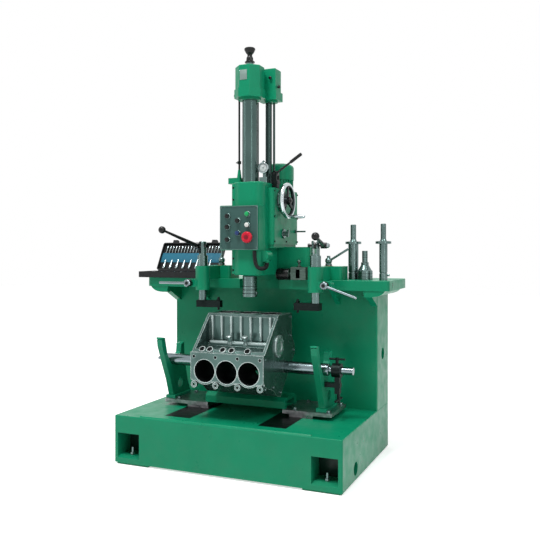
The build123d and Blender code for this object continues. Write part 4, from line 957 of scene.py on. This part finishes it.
@dataclass
class Dials(Assembly):
    """Faces, graduations and hands of the dial gauge, the wheel ring and the feed dial."""

    gauge: Triple = (72.0, -84.0, 1499.0)
    gauge_radius: float = 22.6
    gauge_marks: int = 50
    ring_centre: Triple = (148.0, 4.0, 1333.0)
    ring_marks_round: int = 60

    def build(self) -> None:
        """Adds the dial faces and marks."""
        shape = [(self.gauge_radius, 0), (self.gauge_radius, 0.6)]
        face = Bench.turned("gauge_face", shape, point(*self.gauge), FRONT, 48, 0.2)
        self.place(face, Body.MACHINE, "gauge", "gauge_face")
        tick = Bench.block("tick", (0.5, 0.4, 4.0), Vector((0, 0, 19 * MM)), 0.1)
        centre = Matrix.Translation(point(*self.gauge) + Vector((0, -0.0007, 0)))
        count = self.gauge_marks
        turns = [centre @ Matrix.Rotation(2 * pi * k / count, 4, "Y") for k in range(count)]
        self.place(Bench.spread(tick, turns, "gauge_ticks"), Body.MACHINE, "black", "ink_black")
        x, y, z = self.gauge
        lean = Matrix.Rotation(radians(40), 3, "Y")
        hand = Bench.block("gauge_hand", (0.9, 0.5, 20), point(x + 4.6, y - 1.4, z + 5.6), 0.2, lean, 0.3)
        self.place(hand, Body.MACHINE, "black", "ink_black")
        shape = [(27.6, 0), (28.2, 0.8), (28.2, 3.4), (27.0, 4.2), (24.2, 4.2)]
        bezel = Bench.turned("gauge_bezel", shape, point(x, y - 0.2, z), FRONT, 64)
        Bench.sink(bezel, lambda item: item.normal.y < -SQUARE and item.area > 0.0009, 0.4, 4.0)
        self.place(Bench.settle(bezel), Body.MACHINE, "gauge", "bright_chrome")
        self.ring_marks()

    def ring_marks(self) -> None:
        """Lays the marks round the handwheel's ring, and adds the hub cap and the feed dial's rim."""
        mark = Bench.block("ring_mark", (0.5, 0.7, 5.5), Vector((0.0002, 0, 50.5 * MM)), 0.1)
        centre = Matrix.Translation(point(*self.ring_centre))
        count = self.ring_marks_round
        turns = [centre @ Matrix.Rotation(2 * pi * k / count, 4, "X") for k in range(count)]
        self.place(Bench.spread(mark, turns, "ring_marks"), Body.MACHINE, "black", "ink_black")
        shape = [(19, 0), (19, 3), (15, 7), (9, 8), (9, 11), (4, 12)]
        x, y, z = self.ring_centre
        hub = Bench.turned("wheel_hub_cap", shape, point(x + 36, y, z), RIGHT, 40, 0.4)
        self.place(hub, Body.HANDWHEEL, "black", "black_gloss")
        shape = [(25, 0), (25, 5), (23, 7), (15, 7.6)]
        dial = Bench.turned("feed_dial_rim", shape, point(136, 34, 1164), RIGHT, 40, 0.4)
        self.place(dial, Body.MACHINE, "gauge", "ground_steel")


@dataclass
class Hose(Assembly):
    """Ribs of the short hose between the control box and the casting.

    rounds is how often the slopes at the stops are refined, and parts how many points a gap between two
    stops has.
    """

    radius: float = 8.5
    rib: float = 10.4
    step: float = 5.0
    rounds: int = 40
    parts: int = 60
    stops: tuple[Triple, ...] = (
        (74, -195, 1076), (77, -198, 1042), (98, -198, 989), (120, -172, 989), (120, -144, 1015)
    )

    def build(self) -> None:
        """Models one rib and threads its copies on the hose."""
        foot = self.radius - 0.6
        rib = Bench.turned(
            "hose_rib", [(foot, -1.6), (self.rib, -0.8), (self.rib, 0.8), (foot, 1.6)], HOME, UP, 28
        )
        moves = []
        travelled, last, due = 0.0, Vector(self.stops[0]), self.step
        for spot, along in self.curve():
            travelled += (spot - last).length
            last = spot
            if travelled >= due:
                due += self.step
                moves.append(Matrix.Translation(spot * MM) @ facing(along))
        self.place(Bench.spread(rib, moves, "hose_ribs"), Body.MACHINE, "hose", "hose_black")

    def curve(self) -> list[tuple[Vector, Vector]]:
        """Follows the hose's middle line, a smooth cubic through its stops.

        Returns:
            Close points in mm, each with the hose's direction there.
        """
        points = [Vector(stop) for stop in self.stops]
        gaps = [(after - before).length for before, after in zip(points, points[1:])]
        slopes = [DOWN] + [HOME for _ in points[2:]] + [UP]
        for _ in range(self.rounds):
            for k in range(1, len(points) - 1):
                near, far = gaps[k - 1], gaps[k]
                before, after = points[k] - points[k - 1], points[k + 1] - points[k]
                pull = before * 3 / near ** 2 + after * 3 / far ** 2
                slopes[k] = (pull - slopes[k - 1] / near - slopes[k + 1] / far) / (2 / near + 2 / far)
        line = []
        for k, gap in enumerate(gaps):
            for part in range(self.parts):
                t = part / self.parts
                spot = (
                    points[k] * (2 * t ** 3 - 3 * t ** 2 + 1) + slopes[k] * gap * (t ** 3 - 2 * t ** 2 + t)
                    + points[k + 1] * (3 * t ** 2 - 2 * t ** 3) + slopes[k + 1] * gap * (t ** 3 - t ** 2)
                )
                line.append(spot)
        return [(spot, (after - spot).normalized()) for spot, after in zip(line, line[1:])]


@dataclass
class ToolCase(Assembly):
    """Lining and tools of the open case."""

    left: float = -749.0
    right: float = -334.0
    small_tools: int = 18
    small_first: float = -716.0
    small_pitch: float = 20.4
    large_tools: int = 8
    large_first: float = -708.0
    large_pitch: float = 43.5
    tray_tools: int = 8
    tray_pitch: float = 46.0

    def build(self) -> None:
        """Lines the lid and the tray and lays out the tools."""
        tilt = Matrix.Rotation(LID_LEAN, 3, "X")
        middle = (self.left + self.right) / 2
        lining = Bench.block("lid_lining", (401, 5.6, 168), lid_point(middle, 98, 14.8), 1.2, tilt)
        self.place(lining, Body.LID, "case", "case_black")
        band = Bench.block("lid_band", (400, 2.4, 62), lid_point(middle, 92, 11.4), 0.8, tilt)
        self.place(band, Body.LID, "case", "case_teal")
        self.lid_tools()
        self.tray()

    @staticmethod
    def row(first: float, pitch: float, count: int, down: float, deep: float) -> list[Matrix]:
        """Lists the places of one row of tools in the lid.

        Args:
            first: the first tool's place across the machine, in mm.
            pitch: step from tool to tool, in mm.
            count: number of tools.
            down: distance from the hinge towards the lid's free edge, in mm.
            deep: depth from the lid's rim into its shell, in mm.

        Returns:
            One placement per tool.
        """
        return [Matrix.Translation(lid_point(first + k * pitch, down, deep)) for k in range(count)]

    def lid_tools(self) -> None:
        """Models one small tool, one large tool and one clip, and lays each out in a row."""
        up = lid_point(0, 1, 0) - lid_point(0, 0, 0)
        shape = [(2.0, 0), (2.0, 8), (3.1, 10), (3.1, 44), (2.4, 47), (1.6, 48)]
        small = Bench.turned("small_tool", shape, HOME, up, 16)
        moves = self.row(self.small_first, self.small_pitch, self.small_tools, 122, 7.4)
        self.place(Bench.spread(small, moves, "small_lid_tools"), Body.LID, "bright", "bright_chrome")
        shape = [(7.4, 0), (8.0, 2), (8.0, 30), (6.0, 33), (6.0, 46), (4.4, 50), (4.4, 58)]
        large = Bench.turned("large_tool", shape, HOME, up, 20)
        moves = self.row(self.large_first, self.large_pitch, self.large_tools, 18, 9.2)
        self.place(Bench.spread(large, moves, "large_lid_tools"), Body.LID, "bright", "bright_chrome")
        clips = Bench.block("tool_clip", (9, 5, 4), HOME, 0.8, Matrix.Rotation(LID_LEAN, 3, "X"))
        moves = self.row(self.small_first, self.small_pitch, self.small_tools, 132, 8.2)
        self.place(Bench.spread(clips, moves, "tool_clips"), Body.LID, "case", "case_black")

    def tray(self) -> None:
        """Lines the tray and lays some tools in it."""
        middle = (self.left + self.right) / 2
        foam = Bench.block("tray_lining", (400, 166, 6), point(middle, 99, 939.2), 1.6)
        self.place(foam, Body.MACHINE, "case", "case_teal")
        shape = [(6.5, 0), (6.5, 40), (4.5, 44), (4.5, 70), (3, 74)]
        tool = Bench.turned("tray_tool", shape, HOME, BACK, 20)
        moves = [
            Matrix.Translation(point(-700 + k * self.tray_pitch, 76, 948.6)) for k in range(self.tray_tools)
        ]
        self.place(Bench.spread(tool, moves, "tray_tools"), Body.MACHINE, "bright", "bright_chrome")


@dataclass
class EngineBlock(Assembly):
    """Rims, bore walls, ribs, rail, studs, ports, cover and bolts of the cylinder block."""

    pitch: float = 118.0
    front_mouth: tuple[float, float] = (-360.0, 490.0)
    upper_mouth: tuple[float, float] = (AXIS_Y, 755.0)
    rail_height: float = 612.0
    rib_places: tuple[float, ...] = (-160.0, -108.0, -54.0, 0.0, 54.0, 108.0, 160.0)
    port_places: tuple[float, ...] = (-140.0, -98.0, -28.0, 20.0, 104.0)
    end_x: float = 195.0
    cover_centre: tuple[float, float] = (-176.0, 604.0)
    rim_bolts: tuple[tuple[float, float], ...] = (
        (-340, 420), (-340, 560), (-190, 735), (-12, 735), (-12, 640), (30, 560), (-150, 372), (-240, 412),
    )

    def build(self) -> None:
        """Adds the block's detail."""
        self.liners()
        self.bores()
        self.valley()
        self.ports()
        self.end_face()

    def mouths(self) -> list[tuple[Vector, Vector, Vector]]:
        """Lists the cylinders.

        Returns:
            For each cylinder its mouth in mm, the way out of it and the way in.
        """
        banks = ((self.front_mouth, FRONT, BACK), (self.upper_mouth, UP, DOWN))
        return [
            (Vector((x, y, z)), out, into)
            for x in (-self.pitch, 0.0, self.pitch)
            for (y, z), out, into in banks
        ]

    def liners(self) -> None:
        """Sets a thin machined ring round the mouth of each cylinder."""
        rings = []
        for at, out, _ in self.mouths():
            ring = Bench.turned("liner", [(58, -1), (58, 0.8)], HOME, UP, 64)
            Bench.pick_faces(ring, lambda face: abs(face.normal.z) > SQUARE)
            bpy.ops.mesh.inset(thickness=1.7 * MM, depth=0)
            bpy.ops.mesh.bridge_edge_loops()
            bpy.ops.object.mode_set(mode="OBJECT")
            ring.matrix_world = Matrix.Translation(at * MM) @ facing(out)
            rings.append(Bench.settle(ring))
        self.place(Bench.join(rings, "cylinder_rims"), Body.MACHINE, "aluminium", "machined_face")

    def bores(self) -> None:
        """Lines each cylinder with a thin near-black wall, a stand-in for the shade in it."""
        shape = [(55.2, 0.2), (54.7, 1.4), (54.7, 184), (54.9, 185)]
        walls = [Bench.sleeve("bore_wall", shape, at * MM, into) for at, _, into in self.mouths()]
        self.place(Bench.join(walls, "bore_walls"), Body.MACHINE, "aluminium", "bore_painted_shade")

    def valley(self) -> None:
        """Adds the ribs, the rail and the rail's two studs in the valley."""
        rib = Bench.block("valley_rib", (11, 16, 128), point(0, -192, 682), 3.0)
        moves = [Matrix.Translation(Vector((x * MM, 0, 0))) for x in self.rib_places]
        # The cast ribs take the bright machined finish, a painted highlight on them.
        self.place(Bench.spread(rib, moves, "valley_ribs"), Body.MACHINE, "aluminium", "machined_face")
        shape = [(9, 0), (12, 4), (12, 316), (9, 320)]
        rail = Bench.turned("valley_rail", shape, point(-160, -222, self.rail_height), RIGHT, 24)
        self.place(rail, Body.MACHINE, "aluminium", "machined_face")
        shape = [(16, 0), (12, 8), (10, 26), (15, 29), (15, 42), (12, 44)]
        boss = Bench.turned("valley_boss", shape, HOME, Vector((0, -0.35, 0.94)), 28, 0.6)
        moves = [Matrix.Translation(point(x, -232, self.rail_height)) for x in (-42, 44)]
        self.place(Bench.spread(boss, moves, "valley_bosses"), Body.MACHINE, "aluminium", "machined_face")

    def ports(self) -> None:
        """Models one rimmed port and repeats it along the front bank; a near-black disc in each is painted
        shade.
        """
        lean = Vector((0, -0.72, 0.7))
        port = Bench.turned("port", [(19, 0), (17, 12), (15.5, 14)], HOME, UP, 32)
        Bench.sink(port, lambda face: face.normal.z > SQUARE and face.center.z > 0.01, 2.2, 8)
        port.matrix_world = facing(lean)
        Bench.settle(port)
        moves = [Matrix.Translation(point(x, -334, 586)) for x in self.port_places]
        self.place(Bench.spread(port, moves, "valley_ports"), Body.MACHINE, "aluminium", "machined_face")
        # Near-black discs in the ports: painted shade.
        shape = [(12.8, 0), (12.8, 1.2), (11, 1.8)]
        plug = Bench.turned("port_floor_shade", shape, point(0, -5.8, 5.7), lean, 24)
        self.place(Bench.spread(plug, moves, "port_shadows"), Body.MACHINE, "aluminium", "bore_shadow")

    def end_face(self) -> None:
        """Adds the round cover, its six bolts and the bolts along the rim of the block's right end."""
        shape = [(56, 0), (56, 7), (50, 9), (30, 9), (26, 5), (12, 5)]
        y, z = self.cover_centre
        cover = Bench.turned("end_cover", shape, point(self.end_x, y, z), RIGHT, 48, 0.8)
        self.place(cover, Body.MACHINE, "aluminium", "machined_face")
        bolts = []
        for turn in range(30, 390, 60):
            over, up = 44 * cos(radians(turn)), 44 * sin(radians(turn))
            spot = point(self.end_x + 8 + Bench.WASHER, y + over, z + up)
            bolts.append(Bench.hex_bolt("cover_bolt", 5, 4, spot, RIGHT))
        for y, z in self.rim_bolts:
            spot = point(self.end_x + Bench.WASHER, y, z)
            bolts.append(Bench.hex_bolt("rim_bolt", 5.5, 5, spot, RIGHT))
        self.place(Bench.join(bolts, "end_bolts"), Body.MACHINE, "steel", "ground_steel")


@dataclass
class Fixture(Assembly):
    """Bolts and pads of the work fixture."""

    plate_top: float = 280.0
    prongs: tuple[float, float] = (-470.0, 390.0)
    bolt_places: tuple[tuple[float, float], ...] = (
        (-420, -88), (-420, 100), (-260, 100), (428, -96), (250, -90), (428, 106), (250, 106),
    )

    def build(self) -> None:
        """Adds the fixture's bolts and the green pads on its prongs."""
        bolts = [
            Bench.hex_bolt("plate_bolt", 9, 8, point(x, y, self.plate_top + Bench.WASHER), UP)
            for x, y in self.bolt_places
        ]
        self.place(Bench.join(bolts, "plate_bolts"), Body.MACHINE, "steel", "ground_steel")
        pads = []
        front_lean = Matrix.Rotation(radians(-10.6), 3, "X")
        back_lean = Matrix.Rotation(radians(10), 3, "X")
        for x in self.prongs:
            pads.append(Bench.block("prong_pad", (34, 36, 10), point(x, -192, 611), 2.0, front_lean))
            pads.append(Bench.block("prong_pad", (34, 34, 10), point(x, 8, 562), 2.0, back_lean))
        self.place(Bench.join(pads, "prong_pads"), Body.MACHINE, "enamel_trim", "fitting_green")


@dataclass
class Grips(Assembly):
    """Collars and nuts of levers and handles, the roller's ridges, and the dark rings, plug and plates of
    painted shade.
    """

    pivot: float = 1100.0
    screw_height: float = 904.0
    roller_y: float = 30.0
    roller_z: float = 952.0
    ridges: int = 48
    cutter_place: tuple[float, float] = (536.0, 176.0)
    nose_heights: tuple[float, ...] = (856.0, 874.0, 892.0)
    pocket_x: float = 517.0

    def build(self) -> None:
        """Adds the fittings."""
        self.cam_nut(Vector((-327.2, -67.2, self.pivot)), Vector((-0.9164, 0.4003, 0)), Body.CAM_LEFT)
        self.cam_nut(Vector((414.2, -80.6, self.pivot)), Vector((0.9863, 0.1650, 0)), Body.CAM_RIGHT)
        self.hub_collar(-337.0, Body.CLAMP_LEFT)
        self.hub_collar(420.0, Body.CLAMP_RIGHT)
        self.roller()
        self.slot_plate()
        self.dark_rings()
        self.table_end_shade()
        self.pocket_plates()

    def cam_nut(self, at: Vector, along: Vector, body: Body) -> None:
        """Screws a bright domed nut on the end of a cam lever's pin.

        Args:
            at: foot of the nut in mm.
            along: direction of the pin.
            body: the lever's body.
        """
        shape = [(12.5, 0.2), (12.5, 8), (11, 9.5), (8.6, 10), (8.6, 13), (5, 15)]
        nut = Bench.turned(f"cam_nut_{body.side}", shape, at * MM, along, 6)
        self.place(nut, body, "bright", "bright_chrome")

    def hub_collar(self, x: float, body: Body) -> None:
        """Puts a black collar round a handle's hub and a black plug in its face.

        Args:
            x: place of the hub in mm.
            body: the handle's body.
        """
        shape = [(19.6, 0), (20.2, 1), (20.2, 25), (19.4, 26.5)]
        collar = Bench.turned("collar", shape, point(x, -125, self.screw_height), FRONT, 40)
        shape = [(9.5, -0.5), (9.5, 0.5), (8, 1.1), (4, 1.3)]
        plug = Bench.turned("plug", shape, point(x, -155.3, self.screw_height), FRONT, 28)
        self.place(Bench.join([collar, plug], f"hub_collar_{body.side}"), body, "black", "black_gloss")

    def roller(self) -> None:
        """Knurls the black roller beside the setting gauge with rows of small ridges."""
        shape = [(28.4, 0), (29, 1), (29, 65), (28.4, 66)]
        skin = Bench.turned("roller_end", shape, point(107.5, self.roller_y, self.roller_z), RIGHT, 48)
        ridge = Bench.block("ridge", (62, 0.9, 1.0), point(140.5, self.roller_y, self.roller_z + 29.1), 0.2)
        turns = [self.about(k * 360 / self.ridges) for k in range(self.ridges)]
        ridges = Bench.spread(ridge, turns, "ridges")
        self.place(Bench.join([skin, ridges], "roller_knurl"), Body.MACHINE, "dark_steel", "black_gloss")

    def slot_plate(self) -> None:
        """Closes the back of the setting gauge's slot with a near-black plate, a stand-in for shade."""
        slot = Bench.block("gauge_slot", (20.4, 3, 44), point(226, 50.2, 955), 0.8)
        self.place(slot, Body.MACHINE, "dark_steel", "bore_shadow")

    def about(self, turn: float) -> Matrix:
        """Returns a rotation about the roller's axis, in degrees."""
        centre = point(0, self.roller_y, self.roller_z)
        spin = Matrix.Rotation(radians(turn), 4, "X")
        return Matrix.Translation(centre) @ spin @ Matrix.Translation(-centre)

    def dark_rings(self) -> None:
        """Lays thin near-black rings round the cutter head and the nose of the bar, painted shade that
        stands in for grooves.
        """
        rings = []
        x, y = self.cutter_place
        for radius, height in ((40.2, 940), (40.2, 956), (14.7, 1040), (14.7, 1052)):
            shape = [(radius - 0.4, -1), (radius, -0.6), (radius, 0.6), (radius - 0.4, 1)]
            rings.append(Bench.turned("groove", shape, point(x, y, height), UP, 56))
        self.place(Bench.join(rings, "cutter_head_groove_shades"), Body.MACHINE, "steel", "bore_shadow")
        shape = [(38.8, -0.9), (39.2, -0.5), (39.2, 0.5), (38.8, 0.9)]
        rings = [
            Bench.turned("nose_groove", shape, point(0, AXIS_Y, height), UP, 64)
            for height in self.nose_heights
        ]
        self.place(Bench.join(rings, "bar_nose_groove_shades"), Body.BAR, "bright", "bore_shadow")

    def table_end_shade(self) -> None:
        """Adds a black six-sided plug in the right end of the table, a stand-in for the shade of the slot
        there.
        """
        shape = [(9, -1), (9, 0.4), (7, 0.9), (3, 0.9)]
        plug = Bench.turned("table_end_shade", shape, point(697.2, 110, 900), RIGHT, 6)
        self.place(plug, Body.MACHINE, "black", "ink_black")

    def pocket_plates(self) -> None:
        """Lays thin dark green plates on the back and roof of the bolt pockets, a stand-in for shade."""
        plates = []
        for x in (-self.pocket_x, self.pocket_x):
            plates.append(Bench.block("pocket_back", (125.6, 1.2, 113.6), point(x, -311.8, 102), 0.4))
            plates.append(Bench.block("pocket_roof", (125.6, 106, 1.2), point(x, -366, 158.2), 0.4))
        self.place(Bench.join(plates, "pocket_shadows"), Body.MACHINE, "enamel", "pocket_dark")


@dataclass(frozen=True)
class Lamp:
    """An area lamp, with its place and aim in metres, its size in metres and its power in watts."""

    name: str
    place: Triple
    aim: Triple
    width: float
    tall: float
    power: float

    def hang(self) -> None:
        """Adds the lamp to the scene, turned to its aim."""
        data = bpy.data.lights.new(self.name, "AREA")
        data.shape = "RECTANGLE"
        data.size = self.width
        data.size_y = self.tall
        data.energy = self.power
        lamp = bpy.data.objects.new(self.name, data)
        lamp.location = self.place
        lamp.rotation_euler = (Vector(self.aim) - Vector(self.place)).to_track_quat("-Z", "Y").to_euler()
        bpy.context.scene.collection.objects.link(lamp)


@dataclass
class Studio:
    """Floor, sky, lamps and camera.

    eye is the camera's place in metres, turn its heading in degrees, lens its focal length in mm and rise
    its upward shift. reach is half the floor's width in metres, and sky the strength of the sky's light.
    """

    LAMPS = (
        Lamp("key", (-0.7, -2.6, 6.0), (0, 0, 0.7), 1.2, 1.2, 190.0),
        Lamp("fill", (4.0, -2.0, 4.9), (0, 0, 0.9), 1.2, 1.2, 62.0),
        Lamp("top", (0.2, -0.8, 5.2), (0, 0, 0.9), 1.6, 1.6, 66.0),
        Lamp("back", (-1.8, 3.6, 3.4), (0, 0, 1.0), 2.0, 2.0, 30.0),
        Lamp("left_strip", (-3.2, -2.2, 1.7), (0, 0, 1.2), 0.20, 2.6, 12.0),
        Lamp("right_strip", (3.0, -2.4, 1.7), (0, 0, 1.2), 0.16, 2.6, 9.0),
    )
    eye: Triple = (1.5027, -3.3305, 1.0726)
    turn: float = 23.21
    lens: float = 46.12
    rise: float = -0.0359
    reach: float = 14.0
    sky: float = 0.20

    def build(self) -> None:
        """Sets the scene round the machine."""
        self.camera()
        self.floor()
        self.lamps()
        self.world()
        bpy.context.scene.view_settings.view_transform = "Standard"

    def camera(self) -> None:
        """Puts the camera where the photograph was taken from."""
        data = bpy.data.cameras.new("camera")
        data.sensor_width = 36.0
        data.lens = self.lens
        data.shift_y = self.rise
        camera = bpy.data.objects.new("camera", data)
        camera.location = self.eye
        camera.rotation_euler = (radians(90), 0, radians(self.turn))
        bpy.context.scene.collection.objects.link(camera)
        bpy.context.scene.camera = camera

    def floor(self) -> None:
        """Lays a large flat pale floor that glows a little more away from the machine."""
        Bench.clear()
        bpy.ops.mesh.primitive_plane_add(size=2, location=(0, 0, 0))
        floor = bpy.context.object
        floor.scale = (self.reach, self.reach, 1)
        Bench.settle(floor)
        floor.name = "studio_floor"
        tree = NodeTree("floor_paper")
        tree.feed("Base Color", tree.blend(tree.noise(2.0), (0.93, 0.93, 0.93), (0.95, 0.95, 0.95)))
        tree.feed("Roughness", 0.9)
        path = tree.nodes.new("ShaderNodeLightPath")
        glow = tree.nodes.new("ShaderNodeEmission")
        glow.inputs["Color"].default_value = (1, 1, 1, 1)
        spread = tree.nodes.new("ShaderNodeVectorMath")
        spread.operation = "LENGTH"
        tree.links.new(tree.coords.outputs["Object"], spread.inputs[0])
        tree.links.new(tree.ramp(spread.outputs["Value"], 1.2, 3.6, 0.60, 0.84), glow.inputs["Strength"])
        add = tree.nodes.new("ShaderNodeAddShader")
        mix = tree.nodes.new("ShaderNodeMixShader")
        tree.links.new(tree.shader.outputs[0], add.inputs[0])
        tree.links.new(glow.outputs[0], add.inputs[1])
        tree.links.new(self.seen(tree.nodes, tree.links, path), mix.inputs[0])
        tree.links.new(tree.shader.outputs[0], mix.inputs[1])
        tree.links.new(add.outputs[0], mix.inputs[2])
        tree.links.new(mix.outputs[0], tree.nodes["Material Output"].inputs["Surface"])
        floor.data.materials.append(tree.material)

    @staticmethod
    def seen(
        nodes: bpy.types.Nodes, links: bpy.types.NodeLinks, path: bpy.types.Node
    ) -> bpy.types.NodeSocket:
        """Returns 1 for rays that show the background: straight, reflected in gloss or through glass.

        Args:
            nodes: the tree's nodes.
            links: the tree's links.
            path: the tree's Light Path node.

        Returns:
            The joined factor.
        """
        total = path.outputs["Is Camera Ray"]
        for key in ("Is Glossy Ray", "Is Transmission Ray"):
            join = nodes.new("ShaderNodeMath")
            join.operation = "MAXIMUM"
            links.new(total, join.inputs[0])
            links.new(path.outputs[key], join.inputs[1])
            total = join.outputs[0]
        return total

    def lamps(self) -> None:
        """Hangs the lamps. The two upright strips draw lines on round steel."""
        for lamp in self.LAMPS:
            lamp.hang()

    def world(self) -> None:
        """Gives a soft even sky, seen as white by the camera."""
        world = bpy.data.worlds.new("studio")
        world.use_nodes = True
        nodes, links = world.node_tree.nodes, world.node_tree.links
        soft = nodes["Background"]
        soft.inputs["Color"].default_value = (1, 1, 1, 1)
        soft.inputs["Strength"].default_value = self.sky
        white = nodes.new("ShaderNodeBackground")
        white.inputs["Color"].default_value = (1, 1, 1, 1)
        white.inputs["Strength"].default_value = 1.0
        path = nodes.new("ShaderNodeLightPath")
        mix = nodes.new("ShaderNodeMixShader")
        links.new(self.seen(nodes, links, path), mix.inputs[0])
        links.new(soft.outputs[0], mix.inputs[1])
        links.new(white.outputs[0], mix.inputs[2])
        links.new(mix.outputs[0], nodes["World Output"].inputs["Surface"])
        bpy.context.scene.world = world


def main() -> None:
    """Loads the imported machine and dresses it."""
    logging.basicConfig(level=logging.INFO, format="%(name)s: %(message)s")
    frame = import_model()
    Studio().build()
    palette = Palette()
    Castings(palette).build(frame["nodes"])
    for group in (ControlPanel, Dials, Hose, ToolCase, EngineBlock, Fixture, Grips):
        group(palette).build()
        LOG.info("built %s", group.__name__)


if __name__ == "__main__":
    main()
